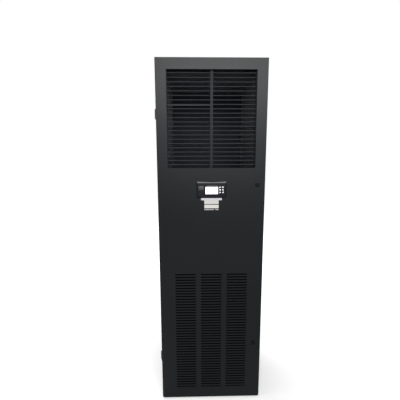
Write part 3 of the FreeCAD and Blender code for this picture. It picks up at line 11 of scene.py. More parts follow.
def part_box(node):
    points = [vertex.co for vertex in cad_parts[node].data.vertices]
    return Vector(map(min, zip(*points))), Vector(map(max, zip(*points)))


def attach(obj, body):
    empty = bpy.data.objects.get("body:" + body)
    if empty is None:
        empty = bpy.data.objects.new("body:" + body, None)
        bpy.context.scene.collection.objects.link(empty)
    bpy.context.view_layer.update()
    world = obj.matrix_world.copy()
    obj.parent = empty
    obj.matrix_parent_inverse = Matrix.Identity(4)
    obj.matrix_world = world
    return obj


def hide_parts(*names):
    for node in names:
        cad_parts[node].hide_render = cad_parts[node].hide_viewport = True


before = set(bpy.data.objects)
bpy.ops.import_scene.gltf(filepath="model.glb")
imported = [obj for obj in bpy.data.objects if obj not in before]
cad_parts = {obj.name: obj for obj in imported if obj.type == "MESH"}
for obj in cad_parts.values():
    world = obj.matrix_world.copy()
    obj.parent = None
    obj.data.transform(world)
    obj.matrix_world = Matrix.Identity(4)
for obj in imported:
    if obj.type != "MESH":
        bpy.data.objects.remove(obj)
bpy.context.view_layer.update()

LOG = logging.getLogger("air_conditioner")
# Lengths are in metres and angles in degrees. X runs to the viewer's right, Y to the rear, Z up.
MM = 0.001
# Points closer than this become one: in pieces made here, and in carried-over nodes.
SEAM = 1e-6
NODE_SEAM = 1e-5
# Edges sharper than this stay sharp in shading, or are rounded on carried-over nodes.
SHARP_ANGLE = math.radians(32)
EASED_ANGLE = math.radians(40)
# What a noise pattern mostly keeps to, of its range from 0 to 1.
PATTERN_RANGE = (0.3, 0.7)
# How far the wave texture turns in a metre, in radians, at a scale of 1.
WAVE_TURN = 20
WHITE = (1.0, 1.0, 1.0, 1.0)
Colour = tuple[float, float, float]
Point = tuple[float, float, float]
Pair = tuple[float, float]


class Body(Enum):
    """Moving bodies that carry pieces made here."""

    CABINET = "cabinet"
    DOOR = "door"
    FILTER = "air_filter"
    ODD_VANE = "vane_08"


class Slot(Enum):
    """The record's material slots that are named for pieces made here."""

    HINGE_STEEL = "hinge_steel"
    WEAR_PLATE = "wear_plate"
    LOUVRE_PLASTIC = "louvre_plastic"
    SCREEN_GLASS = "screen_glass"
    LOCK_METAL = "lock_metal"
    GEAR_PLASTIC = "gear_plastic"
    FILTER_CLOTH = "filter_cloth"
    FIN_ALUMINIUM = "fin_aluminium"


class Way(Enum):
    """Directions that screws and posts point in."""

    LEFT = (-1.0, 0.0, 0.0)
    FRONT = (0.0, -1.0, 0.0)
    REAR = (0.0, 1.0, 0.0)


class Grain(Enum):
    """Patterns that the fine relief of a surface follows."""

    PEBBLE = "pebble"
    CLOUD = "cloud"
    SPANGLE = "spangle"
    WEAVE = "weave"


class NodePen:
    """Adds and links the nodes of one node tree."""

    def __init__(self, tree: bpy.types.NodeTree) -> None:
        """Start on an emptied tree."""
        tree.nodes.clear()
        self.tree = tree

    def add(
            self, kind: str, values: dict[str, object] | None = None, **settings: object) -> bpy.types.Node:
        """Add one node.

        Args:
            kind: The node's type, without Blender's prefix.
            values: What its input sockets are set to, by name.
            **settings: Properties of the node itself.

        Returns:
            The new node.
        """
        node = self.tree.nodes.new("ShaderNode" + kind)
        for key, value in settings.items():
            setattr(node, key, value)
        for key, value in (values or {}).items():
            node.inputs[key].default_value = value
        return node

    def link(self, source: bpy.types.NodeSocket, target: bpy.types.NodeSocket) -> None:
        """Link an output socket to an input socket."""
        self.tree.links.new(source, target)

    def spread(self, factor: bpy.types.NodeSocket, low: float, high: float) -> bpy.types.NodeSocket:
        """Spread a pattern's middle range over two values.

        Args:
            factor: The pattern, from 0 to 1.
            low: The value at the pattern's low places.
            high: The value at its high places.

        Returns:
            The socket with the spread value.
        """
        least, most = PATTERN_RANGE
        node = self.add("MapRange", {"From Min": least, "From Max": most, "To Min": low, "To Max": high})
        self.link(factor, node.inputs["Value"])
        return node.outputs["Result"]

    def blend(self, factor: bpy.types.NodeSocket, first: Colour, second: Colour) -> bpy.types.NodeSocket:
        """Blend two colours by a pattern.

        Args:
            factor: The pattern, from 0 to 1.
            first: The colour where the pattern is low.
            second: The colour where it is high.

        Returns:
            The socket with the blended colour.
        """
        node = self.add("Mix", data_type="RGBA")
        colours = [socket for socket in node.inputs if socket.type == "RGBA"]
        colours[0].default_value = (*first, 1.0)
        colours[1].default_value = (*second, 1.0)
        self.link(factor, node.inputs["Factor"])
        return [socket for socket in node.outputs if socket.type == "RGBA"][0]

    def seen_rays(self) -> bpy.types.NodeSocket:
        """Tell where a ray shows the background: straight to the camera, in gloss or through glass.

        Returns:
            A socket that is 1 on such rays and 0 on others.
        """
        path = self.add("LightPath")
        seen = path.outputs["Is Camera Ray"]
        for kind in ("Is Glossy Ray", "Is Transmission Ray"):
            either = self.add("Math", operation="MAXIMUM")
            self.link(seen, either.inputs[0])
            self.link(path.outputs[kind], either.inputs[1])
            seen = either.outputs[0]
        return seen


@dataclass(frozen=True)
class Look:
    """How a surface looks, as a material that is made once."""

    name: str

    def material(self) -> bpy.types.Material:
        """Make the material, unless that is already done.

        Returns:
            The material.
        """
        made = bpy.data.materials.get(self.name)
        if made is None:
            made = bpy.data.materials.new(self.name)
            made.use_nodes = True
            self.paint(NodePen(made.node_tree))
        return made

    def paint(self, pen: NodePen) -> None:
        """Lay out the material's nodes; each kind of look has its own."""
        raise NotImplementedError


@dataclass(frozen=True)
class Finish(Look):
    """A surface: its colour with soft patches, its roughness, and its grain."""

    colour: Colour
    patch: Colour
    roughness: Pair
    grain: Grain
    grain_size: float
    grain_depth: float
    patch_size: float = 0.2
    stretch: Point = (1.0, 1.0, 1.0)
    metallic: float = 0.0
    specular: float = 0.5
    coat: float = 0.0
    coat_roughness: float = 0.08
    relief: float = 0.5

    def paint(self, pen: NodePen) -> None:
        """Lay out the nodes of the surface.

        Args:
            pen: What adds the nodes.
        """
        shader = pen.add("BsdfPrincipled", {
            "Metallic": self.metallic, "Specular IOR Level": self.specular, "Coat Weight": self.coat,
            "Coat Roughness": self.coat_roughness})
        output = pen.add("OutputMaterial")
        pen.link(shader.outputs["BSDF"], output.inputs["Surface"])
        place = pen.add("Mapping", {"Scale": self.stretch})
        pen.link(pen.add("TexCoord").outputs["Object"], place.inputs["Vector"])
        where = place.outputs["Vector"]
        self._tint(pen, where, shader)
        self._grain(pen, where, shader)

    def _tint(self, pen: NodePen, where: bpy.types.NodeSocket, shader: bpy.types.Node) -> None:
        """Drive the shader's colour and roughness by soft patches, or by crystals on zinc.

        Args:
            pen: What adds the nodes.
            where: The place on the surface.
            shader: The shader that takes the colour and roughness.
        """
        if self.grain is Grain.SPANGLE:
            cells = pen.add("TexVoronoi", {"Scale": 1.0 / self.grain_size})
            split = pen.add("SeparateColor")
            pen.link(where, cells.inputs["Vector"])
            pen.link(cells.outputs["Color"], split.inputs["Color"])
            factor = split.outputs[0]
        else:
            noise = pen.add("TexNoise", {"Scale": 1.0 / self.patch_size, "Detail": 5.0, "Roughness": 0.6})
            pen.link(where, noise.inputs["Vector"])
            factor = noise.outputs[0]
        pen.link(pen.blend(factor, self.colour, self.patch), shader.inputs["Base Color"])
        pen.link(pen.spread(factor, *self.roughness), shader.inputs["Roughness"])

    def _grain(self, pen: NodePen, where: bpy.types.NodeSocket, shader: bpy.types.Node) -> None:
        """Give the shader's normal the surface's fine grain.

        Args:
            pen: What adds the nodes.
            where: The place on the surface.
            shader: The shader that takes the normal.
        """
        scale = 1.0 / self.grain_size
        if self.grain is Grain.PEBBLE:
            pattern = pen.add("TexVoronoi", {"Scale": scale}, feature="SMOOTH_F1")
        elif self.grain is Grain.WEAVE:
            pattern = pen.add("TexWave", {"Scale": scale / WAVE_TURN, "Distortion": 3.0, "Detail": 3.0})
        else:
            pattern = pen.add("TexNoise", {"Scale": scale, "Detail": 2.0})
        pen.link(where, pattern.inputs["Vector"])
        bump = pen.add("Bump", {"Strength": self.relief, "Distance": self.grain_depth})
        pen.link(pattern.outputs[0], bump.inputs["Height"])
        pen.link(bump.outputs["Normal"], shader.inputs["Normal"])


@dataclass(frozen=True)
class LitScreen(Look):
    """A white backlit screen with a fine raster of dots."""

    name: str = "lit screen"
    glass: Colour = (0.5, 0.52, 0.54)
    roughness: float = 0.12
    dot: float = 0.9 * MM
    dim: Colour = (0.9, 0.92, 0.94)
    bright: Colour = (1.0, 1.0, 1.0)
    strength: float = 1.0

    def paint(self, pen: NodePen) -> None:
        """Lay out the nodes of the screen.

        Args:
            pen: What adds the nodes.
        """
        shader = pen.add("BsdfPrincipled", {
            "Base Color": (*self.glass, 1.0), "Roughness": self.roughness,
            "Emission Strength": self.strength})
        output = pen.add("OutputMaterial")
        raster = pen.add("TexChecker", {"Scale": 1.0 / self.dot})
        pen.link(pen.add("TexCoord").outputs["Object"], raster.inputs["Vector"])
        pen.link(pen.blend(raster.outputs["Fac"], self.bright, self.dim), shader.inputs["Emission Color"])
        pen.link(shader.outputs["BSDF"], output.inputs["Surface"])


@dataclass(frozen=True)
class LabelStock(Look):
    """Blank label stock: cream at the foot, white above it and grey at the head, with a fine tooth."""

    name: str = "label stock"
    stops: tuple[tuple[float, Colour], ...] = (
        (0.00, (0.36, 0.36, 0.35)), (0.14, (0.50, 0.487, 0.435)), (0.46, (0.46, 0.455, 0.445)),
        (0.80, (0.44, 0.435, 0.425)), (0.83, (0.44, 0.43, 0.45)), (1.00, (0.42, 0.41, 0.43)))
    roughness: float = 0.55
    specular: float = 0.3
    tooth: float = 0.8 * MM
    tooth_depth: float = 0.02 * MM
    relief: float = 0.3

    def paint(self, pen: NodePen) -> None:
        """Lay out the nodes of the label: its colour from foot to head, and its tooth.

        Args:
            pen: What adds the nodes.
        """
        shader = pen.add("BsdfPrincipled", {
            "Roughness": self.roughness, "Specular IOR Level": self.specular})
        output = pen.add("OutputMaterial")
        place = pen.add("TexCoord")
        split = pen.add("SeparateXYZ")
        ramp = pen.add("ValToRGB")
        marks = ramp.color_ramp.elements
        last = len(self.stops) - 1
        for index, (spot, colour) in enumerate(self.stops):
            mark = marks.new(spot) if 0 < index < last else marks[-1 if index else 0]
            mark.position = spot
            mark.color = (*colour, 1.0)
        fibre = pen.add("TexNoise", {"Scale": 1.0 / self.tooth, "Detail": 3.0})
        bump = pen.add("Bump", {"Strength": self.relief, "Distance": self.tooth_depth})
        pen.link(place.outputs["Generated"], split.inputs[0])
        pen.link(split.outputs["Z"], ramp.inputs["Fac"])
        pen.link(ramp.outputs["Color"], shader.inputs["Base Color"])
        pen.link(place.outputs["Object"], fibre.inputs["Vector"])
        pen.link(fibre.outputs[0], bump.inputs["Height"])
        pen.link(bump.outputs["Normal"], shader.inputs["Normal"])
        pen.link(shader.outputs["BSDF"], output.inputs["Surface"])


@dataclass(frozen=True)
class FloorLook(Look):
    """A pale floor that looks white and keeps the object's shadow."""

    name: str = "studio floor"
    colour: Colour = (0.80, 0.80, 0.80)
    # How strongly it glows near the middle and far off, and at which distances.
    glow: Pair = (0.25, 0.85)
    reach: Pair = (2.0, 4.5)

    def paint(self, pen: NodePen) -> None:
        """Lay out the nodes of the floor: a plain surface, and a glow that grows with the distance.

        Args:
            pen: What adds the nodes.
        """
        shader = pen.add("BsdfDiffuse", {"Color": (*self.colour, 1.0)})
        glow = pen.add("Emission", {"Color": WHITE})
        total = pen.add("AddShader")
        away = pen.add("VectorMath", operation="LENGTH")
        near, far = self.reach
        low, high = self.glow
        level = pen.add("MapRange", {"From Min": near, "From Max": far, "To Min": low, "To Max": high})
        strength = pen.add("Math", operation="MULTIPLY")
        output = pen.add("OutputMaterial")
        pen.link(pen.add("TexCoord").outputs["Object"], away.inputs[0])
        pen.link(away.outputs["Value"], level.inputs["Value"])
        pen.link(level.outputs["Result"], strength.inputs[1])
        pen.link(pen.seen_rays(), strength.inputs[0])
        pen.link(strength.outputs[0], glow.inputs["Strength"])
        pen.link(shader.outputs[0], total.inputs[0])
        pen.link(glow.outputs[0], total.inputs[1])
        pen.link(total.outputs[0], output.inputs["Surface"])


DOOR_PAINT = Finish(
    "door powder coat", (0.0012, 0.0024, 0.0031), (0.0020, 0.0034, 0.0042), (0.30, 0.34), Grain.PEBBLE,
    0.7 * MM, 0.015 * MM, patch_size=0.35, specular=0.14)
CABINET_PAINT = Finish(
    "cabinet powder coat", (0.010, 0.0103, 0.011), (0.0125, 0.0128, 0.0135), (0.42, 0.50), Grain.PEBBLE,
    0.7 * MM, 0.06 * MM, patch_size=0.4, specular=0.2)
ZINC = Finish(
    "zinc sheet", (0.30, 0.31, 0.32), (0.42, 0.43, 0.44), (0.38, 0.55), Grain.SPANGLE, 9 * MM,
    0.02 * MM, metallic=0.9)
DUCT_PAINT = Finish(
    "duct grey", (0.17, 0.177, 0.185), (0.20, 0.208, 0.216), (0.55, 0.68), Grain.PEBBLE,
    0.8 * MM, 0.05 * MM, patch_size=0.15, specular=0.2)
# Foam lining whose dark colour also paints the shade deep inside the duct.
DUCT_FOAM_AND_SHADE = Finish(
    "duct foam and painted shade", (0.021, 0.025, 0.030), (0.027, 0.032, 0.039), (0.88, 0.96), Grain.CLOUD,
    1.5 * MM, 0.3 * MM, patch_size=0.06, specular=0.1)
FRAME_PLASTIC = Finish(
    "louvre frame", (0.010, 0.0115, 0.014), (0.0125, 0.014, 0.0165), (0.38, 0.46), Grain.PEBBLE,
    0.5 * MM, 0.02 * MM, patch_size=0.08, specular=0.07)
LOUVRE_PLASTIC = Finish(
    "louvre moulding", (0.017, 0.0195, 0.0235), (0.021, 0.0235, 0.0275), (0.38, 0.46), Grain.PEBBLE,
    0.5 * MM, 0.02 * MM, patch_size=0.08, specular=0.10)
# A painted highlight: a pale strip that stands in for the light caught by the odd vane's nose.
VANE_EDGE_HIGHLIGHT = Finish(
    "painted vane edge highlight", (0.072, 0.075, 0.078), (0.102, 0.106, 0.109), (0.42, 0.52), Grain.CLOUD, 2 * MM,
    0.02 * MM, patch_size=0.02, stretch=(0.2, 1.0, 1.0), specular=0.3)
LOCK_METAL = Finish(
    "lock die casting", (0.0015, 0.0015, 0.0017), (0.003, 0.003, 0.0033), (0.22, 0.34), Grain.CLOUD,
    1.5 * MM, 0.03 * MM, patch_size=0.02, specular=0.08)
HINGE_STEEL = Finish(
    "hinge coating", (0.010, 0.010, 0.0105), (0.016, 0.016, 0.0165), (0.35, 0.45), Grain.PEBBLE,
    0.6 * MM, 0.04 * MM, patch_size=0.03, specular=0.4)
BEZEL_PLASTIC = Finish(
    "bezel moulding", (0.0022, 0.0016, 0.0044), (0.0032, 0.0026, 0.0056), (0.12, 0.17), Grain.CLOUD,
    6 * MM, 0.01 * MM, patch_size=0.06, specular=0.19)
KEY_PLASTIC = Finish(
    "white key cap", (0.62, 0.62, 0.63), (0.68, 0.68, 0.69), (0.34, 0.42), Grain.PEBBLE, 0.5 * MM,
    0.02 * MM, patch_size=0.01)
BADGE = Finish(
    "satin badge", (0.026, 0.026, 0.029), (0.040, 0.040, 0.044), (0.40, 0.50), Grain.CLOUD, 0.8 * MM,
    0.01 * MM, patch_size=0.01, stretch=(0.05, 1.0, 1.0), specular=0.3)
RUBBER = Finish(
    "gasket rubber", (0.012, 0.012, 0.012), (0.018, 0.018, 0.018), (0.70, 0.82), Grain.CLOUD,
    0.8 * MM, 0.05 * MM, patch_size=0.04, specular=0.25)
# The filter's media and frame are near-black: their colour also paints the shade seen through the return
# slots.
FILTER_CLOTH = Finish(
    "filter media and painted shade", (0.0012, 0.0013, 0.0015), (0.0024, 0.0026, 0.003), (0.85, 0.95), Grain.WEAVE,
    0.6 * MM, 0.15 * MM, patch_size=0.02, specular=0.02)
FILTER_FRAME_AND_SHADE = Finish(
    "filter frame and painted shade", (0.0025, 0.0026, 0.0028), (0.0036, 0.0037, 0.004), (0.60, 0.72), Grain.PEBBLE,
    0.6 * MM, 0.03 * MM, patch_size=0.03, specular=0.08)
FIN_ALUMINIUM = Finish(
    "fin aluminium", (0.62, 0.63, 0.64), (0.72, 0.73, 0.74), (0.28, 0.42), Grain.CLOUD, 2 * MM,
    0.02 * MM, patch_size=0.03, stretch=(1.0, 1.0, 0.1), metallic=1.0)
FAN_ALUMINIUM = Finish(
    "fan sheet", (0.50, 0.51, 0.52), (0.60, 0.61, 0.62), (0.32, 0.45), Grain.CLOUD, 1.5 * MM,
    0.02 * MM, patch_size=0.05, stretch=(1.0, 0.2, 1.0), metallic=1.0)
MOTOR_CASTING = Finish(
    "motor casting", (0.17, 0.175, 0.18), (0.23, 0.235, 0.24), (0.50, 0.65), Grain.PEBBLE, 1.2 * MM,
    0.08 * MM, patch_size=0.04, metallic=0.7)
COPPER = Finish(
    "drawn copper", (0.62, 0.29, 0.17), (0.42, 0.19, 0.11), (0.26, 0.46), Grain.CLOUD, 2 * MM,
    0.02 * MM, patch_size=0.05, stretch=(1.0, 1.0, 0.2), metallic=1.0)
BRASS = Finish(
    "turned brass", (0.66, 0.47, 0.20), (0.50, 0.34, 0.14), (0.24, 0.40), Grain.CLOUD, 1.2 * MM,
    0.02 * MM, patch_size=0.02, metallic=1.0)
ENAMEL = Finish(
    "black enamel", (0.008, 0.008, 0.0085), (0.012, 0.012, 0.0125), (0.18, 0.30), Grain.CLOUD,
    5 * MM, 0.08 * MM, patch_size=0.06, coat=0.3)
GEAR_GREY = Finish(
    "gear moulding", (0.20, 0.205, 0.21), (0.24, 0.245, 0.25), (0.42, 0.52), Grain.PEBBLE, 0.6 * MM,
    0.03 * MM, patch_size=0.03)
GEAR_PALE = Finish(
    "pale gear moulding", (0.48, 0.48, 0.47), (0.54, 0.54, 0.53), (0.42, 0.52), Grain.PEBBLE,
    0.6 * MM, 0.03 * MM, patch_size=0.03)
GEAR_BLACK = Finish(
    "black gear moulding", (0.014, 0.014, 0.015), (0.02, 0.02, 0.021), (0.40, 0.50), Grain.PEBBLE,
    0.6 * MM, 0.03 * MM, patch_size=0.03)
BOARD_GREEN = Finish(
    "circuit board", (0.012, 0.09, 0.045), (0.02, 0.13, 0.07), (0.30, 0.38), Grain.WEAVE, 1.5 * MM,
    0.03 * MM, patch_size=0.004, stretch=(1.0, 1.0, 6.0))
SCREW_STEEL = Finish(
    "screw zinc", (0.42, 0.42, 0.43), (0.52, 0.52, 0.53), (0.25, 0.38), Grain.CLOUD, 0.8 * MM,
    0.01 * MM, patch_size=0.004, metallic=1.0)
BLACK_SCREW = Finish(
    "black screw", (0.012, 0.012, 0.0125), (0.02, 0.02, 0.0205), (0.30, 0.40), Grain.CLOUD, 0.8 * MM,
    0.02 * MM, patch_size=0.004, specular=0.4)
SCREEN = LitScreen()
LABEL = LabelStock()
FLOOR = FloorLook()


def about(middle: float, half: float) -> Pair:
    """Give the two ends of what reaches equally far to both sides of a middle."""
    return middle - half, middle + half


def spaced(first: float, last: float, count: int) -> list[float]:
    """Give a number of evenly spaced values, the first and the last included."""
    return [first + (last - first) * step / (count - 1) for step in range(count)]


def facing(way: Way, origin: Point) -> Matrix:
    """Make a place whose local Z axis points one way.

    Args:
        way: Where the axis points.
        origin: The place's origin.

    Returns:
        The place as a matrix.
    """
    turn = Vector(way.value).to_track_quat("Z", "Y").to_matrix().to_4x4()
    return Matrix.Translation(origin) @ turn


class Forge:
    """Gathers the faces of one piece, part by part, and turns them into an object."""

    # A screw head's dome, lip and socket: each one's sides, and its radius and height from end to end
    # as shares of the head's radius.
    SCREW_FORMS = (
        (24, ((0.0, 0.0), (1.0, 0.0), (1.0, 0.20), (0.88, 0.42), (0.62, 0.56))),
        (24, ((0.62, 0.56), (0.5, 0.58))),
        (6, ((0.5, 0.58), (0.5, 0.22), (0.0, 0.16))))

    def __init__(self, *looks: Look) -> None:
        """Start an empty piece.

        Args:
            *looks: The finishes that its faces may take.
        """
        self.mesh = bmesh.new()
        self.looks = looks
        self.look = 0

    def take(self, look: Look) -> None:
        """Give the faces that follow another of the piece's finishes."""
        self.look = self.looks.index(look)

    def _claim(self, verts: list[bmesh.types.BMVert]) -> None:
        """Give new faces the present finish.

        Args:
            verts: The vertices that they stand on.
        """
        for vert in verts:
            for face in vert.link_faces:
                face.material_index = self.look

    def block(self, x: Pair, y: Pair, z: Pair, bevel: float = 0.0, place: Matrix | None = None) -> None:
        """Add a box whose edges are rounded.

        Args:
            x: The box's two ends across.
            y: Its two ends from front to rear.
            z: Its two ends upward.
            bevel: How far the edges are rounded, or 0 for sheet metal's sharp ones.
            place: Where the finished box goes, if it doesn't stay where it is made.
        """
        low, high = (Vector(corner) for corner in zip(x, y, z))
        matrix = Matrix.Translation((high + low) / 2) @ Matrix.Diagonal((*(high - low), 1.0))
        verts = bmesh.ops.create_cube(self.mesh, size=1.0, matrix=matrix)["verts"]
        if bevel:
            edges = list({edge for vert in verts for edge in vert.link_edges})
            made = bmesh.ops.bevel(
                self.mesh, geom=edges, offset=bevel, segments=2, profile=0.5, affect="EDGES",
                clamp_overlap=True)
            verts = list({vert for face in made["faces"] for vert in face.verts})
        if place is not None:
            bmesh.ops.transform(self.mesh, matrix=place, verts=verts)
        self._claim(verts)

    def lathe(self, profile: list[Pair], place: Matrix, steps: int = 24) -> None:
        """Turn a profile about the local Z axis.

        Args:
            profile: Pairs of radius and height, from one end to the other; a radius of 0 closes an end.
            place: Where the local origin and axis go.
            steps: How many sides the turned form has.
        """
        rings = []
        for radius, height in profile:
            if not radius:
                rings.append([self.mesh.verts.new(place @ Vector((0.0, 0.0, height)))])
                continue
            ring = []
            for step in range(steps):
                angle = 2 * math.pi * step / steps
                spot = Vector((radius * math.cos(angle), radius * math.sin(angle), height))
                ring.append(self.mesh.verts.new(place @ spot))
            rings.append(ring)
        for lower, upper in zip(rings, rings[1:]):
            for step in range(steps):
                following = (step + 1) % steps
                corners = [lower[step % len(lower)], lower[following % len(lower)],
                           upper[following % len(upper)], upper[step % len(upper)]]
                self.mesh.faces.new(list(dict.fromkeys(corners)))
        self._claim([vert for ring in rings for vert in ring])

    def sweep(self, sections: list[list[Vector]], closed: bool) -> None:
        """Skin a row of equal cross sections.

        Args:
            sections: The points of each cross section, in order.
            closed: Whether the last section joins the first; otherwise both ends are capped.
        """
        rings = [[self.mesh.verts.new(point) for point in section] for section in sections]
        count = len(rings[0])
        pairs = list(zip(rings, rings[1:] + rings[:1])) if closed else list(zip(rings, rings[1:]))
        for here, ahead in pairs:
            for index in range(count):
                after = (index + 1) % count
                self.mesh.faces.new((here[index], here[after], ahead[after], ahead[index]))
        if not closed:
            self.mesh.faces.new(rings[0][::-1])
            self.mesh.faces.new(rings[-1])
        self._claim([vert for ring in rings for vert in ring])

    def screw(self, radius: float, place: Matrix) -> None:
        """Add a domed screw head with a six-sided socket.

        Args:
            radius: The head's radius.
            place: The middle of the head's seat, with the local Z axis pointing out.
        """
        for steps, shares in self.SCREW_FORMS:
            self.lathe([(out * radius, up * radius) for out, up in shares], place, steps)

    def finish(self, name: str, body: Body, slot: Slot, *stands_for: str) -> None:
        """Turn the gathered faces into a piece that rides on a body.

        Args:
            name: The piece's name.
            body: The body that carries it.
            slot: The piece's material slot in the record; not used.
            *stands_for: Nodes that the piece is shown in place of.
        """
        bmesh.ops.remove_doubles(self.mesh, verts=self.mesh.verts, dist=SEAM)
        bmesh.ops.recalc_face_normals(self.mesh, faces=self.mesh.faces)
        data = bpy.data.meshes.new(name)
        self.mesh.to_mesh(data)
        self.mesh.free()
        for look in self.looks:
            data.materials.append(look.material())
        data.shade_smooth()
        data.set_sharp_from_angle(angle=SHARP_ANGLE)
        obj = bpy.data.objects.new(name, data)
        bpy.context.scene.collection.objects.link(obj)
        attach(obj, body.value)
        if stands_for:
            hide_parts(*stands_for)
        LOG.info("made %s on %s", name, body.value)


def dress(look: Look, *nodes: str) -> None:
    """Give carried-over nodes their finish.

    Args:
        look: The finish.
        *nodes: The nodes that take it.
    """
    for node in nodes:
        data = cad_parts[node].data
        data.materials.clear()
        data.materials.append(look.material())
        LOG.info("dressed %s in %s", node, look.name)


def ease_edges(width: float, *nodes: str) -> None:
    """Round the sharp edges of carried-over nodes.

    Args:
        width: How far the edges are rounded.
        *nodes: The nodes whose edges are rounded.
    """
    for node in nodes:
        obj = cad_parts[node]
        weld = obj.modifiers.new("weld", "WELD")
        weld.merge_threshold = NODE_SEAM
        bevel = obj.modifiers.new("edges", "BEVEL")
        bevel.width = width
        bevel.segments = 2
        bevel.limit_method = "ANGLE"
        bevel.angle_limit = EASED_ANGLE


@dataclass
class Cabinet:
    """The housing: base, posts, panels, and the screws that hold the rear panel."""

    screw_radius: float = 5.0 * MM
    screw_inset: float = 12.0 * MM
    screws_up: int = 9
    screws_across: int = 5

    def build(self) -> None:
        """Dress the housing and add its screws."""
        dress(CABINET_PAINT, "base_frame", "top_panel", "left_side_panel", "right_side_panel", "rear_panel")
        dress(ZINC, "corner_posts")
        self._rear_screws()

    def _rear_screws(self) -> None:
        """Set screws round the edge of the rear panel."""
        low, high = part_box("rear_panel")
        left, right = low.x + self.screw_inset, high.x - self.screw_inset
        foot, head = low.z + self.screw_inset, high.z - self.screw_inset
        spots = [(x, z) for x in (left, right) for z in spaced(foot, head, self.screws_up)]
        spots += [(x, z) for x in spaced(left, right, self.screws_across)[1:-1] for z in (foot, head)]
        forge = Forge(BLACK_SCREW)
        for x, z in sorted(spots):
            forge.screw(self.screw_radius, facing(Way.REAR, (x, high.y, z)))
        forge.finish("rear_panel_screws", Body.CABINET, Slot.HINGE_STEEL)


@dataclass
class Door:
    """The door sheet with its labels, hinges, locks and rubber seal."""

    seal_inset: float = 8.0 * MM
    seal_width: float = 7.0 * MM
    seal_height: float = 1.7 * MM
    seal_corner: float = 9.0 * MM
    seal_steps: int = 6
    seal_arc: int = 6
    leaf_sheet: float = 2.0 * MM
    leaf_half: float = 26.0 * MM
    door_leaf_line: float = -0.288
    frame_leaf_line: float = -0.252
    hinge_screw: float = 3.4 * MM
    screw_rise: float = 16.0 * MM

    def build(self) -> None:
        """Dress the door and add its seal and hinge screws."""
        dress(DOOR_PAINT, "door_panel")
        dress(LABEL, "blank_label")
        dress(LOCK_METAL, "lock_bodies", "upper_lock_cam", "lower_lock_cam")
        dress(GEAR_BLACK, "lock_keepers")
        dress(HINGE_STEEL, "hinge_frame_leaves", "hinge_door_leaves")
        self._seal()
        self._hinge_screws("hinge_door_leaves", Body.DOOR, self.door_leaf_line)
        self._hinge_screws("hinge_frame_leaves", Body.CABINET, self.frame_leaf_line)

    def _seal(self) -> None:
        """Run a half-round rubber strip along the lips at the door's rear."""
        low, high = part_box("door_panel")
        x = high.x - self.seal_inset - self.seal_corner
        z0 = low.z + self.seal_inset + self.seal_corner
        z1 = high.z - self.seal_inset - self.seal_corner
        half = self.seal_width / 2
        arc = spaced(0.0, math.pi, self.seal_arc + 1)
        profile = [(half * math.cos(turn), self.seal_height * math.sin(turn)) for turn in arc]
        sections = []
        for quarter, (cx, cz) in enumerate(((x, z1), (-x, z1), (-x, z0), (x, z0))):
            for turn in spaced(quarter, quarter + 1, self.seal_steps + 1):
                angle = math.pi / 2 * turn
                out = Vector((math.cos(angle), 0.0, math.sin(angle)))
                spot = Vector((cx, high.y, cz)) + out * self.seal_corner
                sections.append([spot + out * across + Vector((0.0, up, 0.0)) for across, up in profile])
        forge = Forge(RUBBER)
        forge.sweep(sections, closed=True)
        forge.finish("door_seal", Body.DOOR, Slot.WEAR_PLATE)

    def _hinge_screws(self, node: str, body: Body, y: float) -> None:
        """Set two screws in each of a hinge's leaves.

        Args:
            node: The node with the leaves.
            body: The body that carries them.
            y: The line on which the screws stand.
        """
        low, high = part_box(node)
        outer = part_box("left_side_panel")[0].x - self.leaf_sheet
        forge = Forge(BLACK_SCREW)
        for middle in (low.z + self.leaf_half, high.z - self.leaf_half):
            for z in about(middle, self.screw_rise):
                forge.screw(self.hinge_screw, facing(Way.LEFT, (outer, y, z)))
        forge.finish(node + "_screws", body, Slot.HINGE_STEEL)


@dataclass
class Outlet:
    """The air outlet: its frame and the rows of vanes, one of them with a painted highlight along its front
    edge.
    """

    rows: int = 22
    first_row: float = 1.929
    row_pitch: float = 22.924 * MM
    chord: float = 20.524 * MM
    pivot_y: float = -0.274
    nose: float = 2.5 * MM
    odd_row: int = 8
    odd_tilt: float = 28.0
    edge_ends: Pair = (-0.2372, -0.0087)
    edge_skin: float = 0.1 * MM
    # The part of the nose that carries the painted highlight, in degrees about its middle, from below to in
    # front.
    edge_arc: Pair = (-100.0, 5.0)
    edge_steps: int = 8

    def build(self) -> None:
        """Dress the frame and every vane, and paint a highlight along the odd vane's front edge."""
        dress(FRAME_PLASTIC, "louvre_frame")
        dress(LOUVRE_PLASTIC, *["vane_row_%02d" % row for row in range(1, self.rows + 1)])
        self._paint_edge_highlight()

    def _paint_edge_highlight(self) -> None:
        """Line the lower side of the rolled nose of the left-hand vane that stands at another angle with a
        pale strip: a painted highlight for the light that this nose catches.
        """
        tilt = math.radians(self.odd_tilt)
        pivot_z = self.first_row - (self.odd_row - 1) * self.row_pitch
        reach = self.chord / 2 - self.nose
        radius = self.nose + self.edge_skin
        ahead = Vector((0.0, -math.cos(tilt), -math.sin(tilt)))
        up = Vector((0.0, -math.sin(tilt), math.cos(tilt)))
        sections = []
        for x in self.edge_ends:
            middle = Vector((x, self.pivot_y, pivot_z)) + ahead * reach
            ring = []
            for turn in spaced(*self.edge_arc, self.edge_steps + 1):
                angle = math.radians(turn)
                ring.append(middle + (ahead * math.cos(angle) + up * math.sin(angle)) * radius)
            sections.append(ring)
        forge = Forge(VANE_EDGE_HIGHLIGHT)
        forge.sweep(sections, closed=False)
        forge.finish("vane_edge_painted_highlight", Body.ODD_VANE, Slot.LOUVRE_PLASTIC)


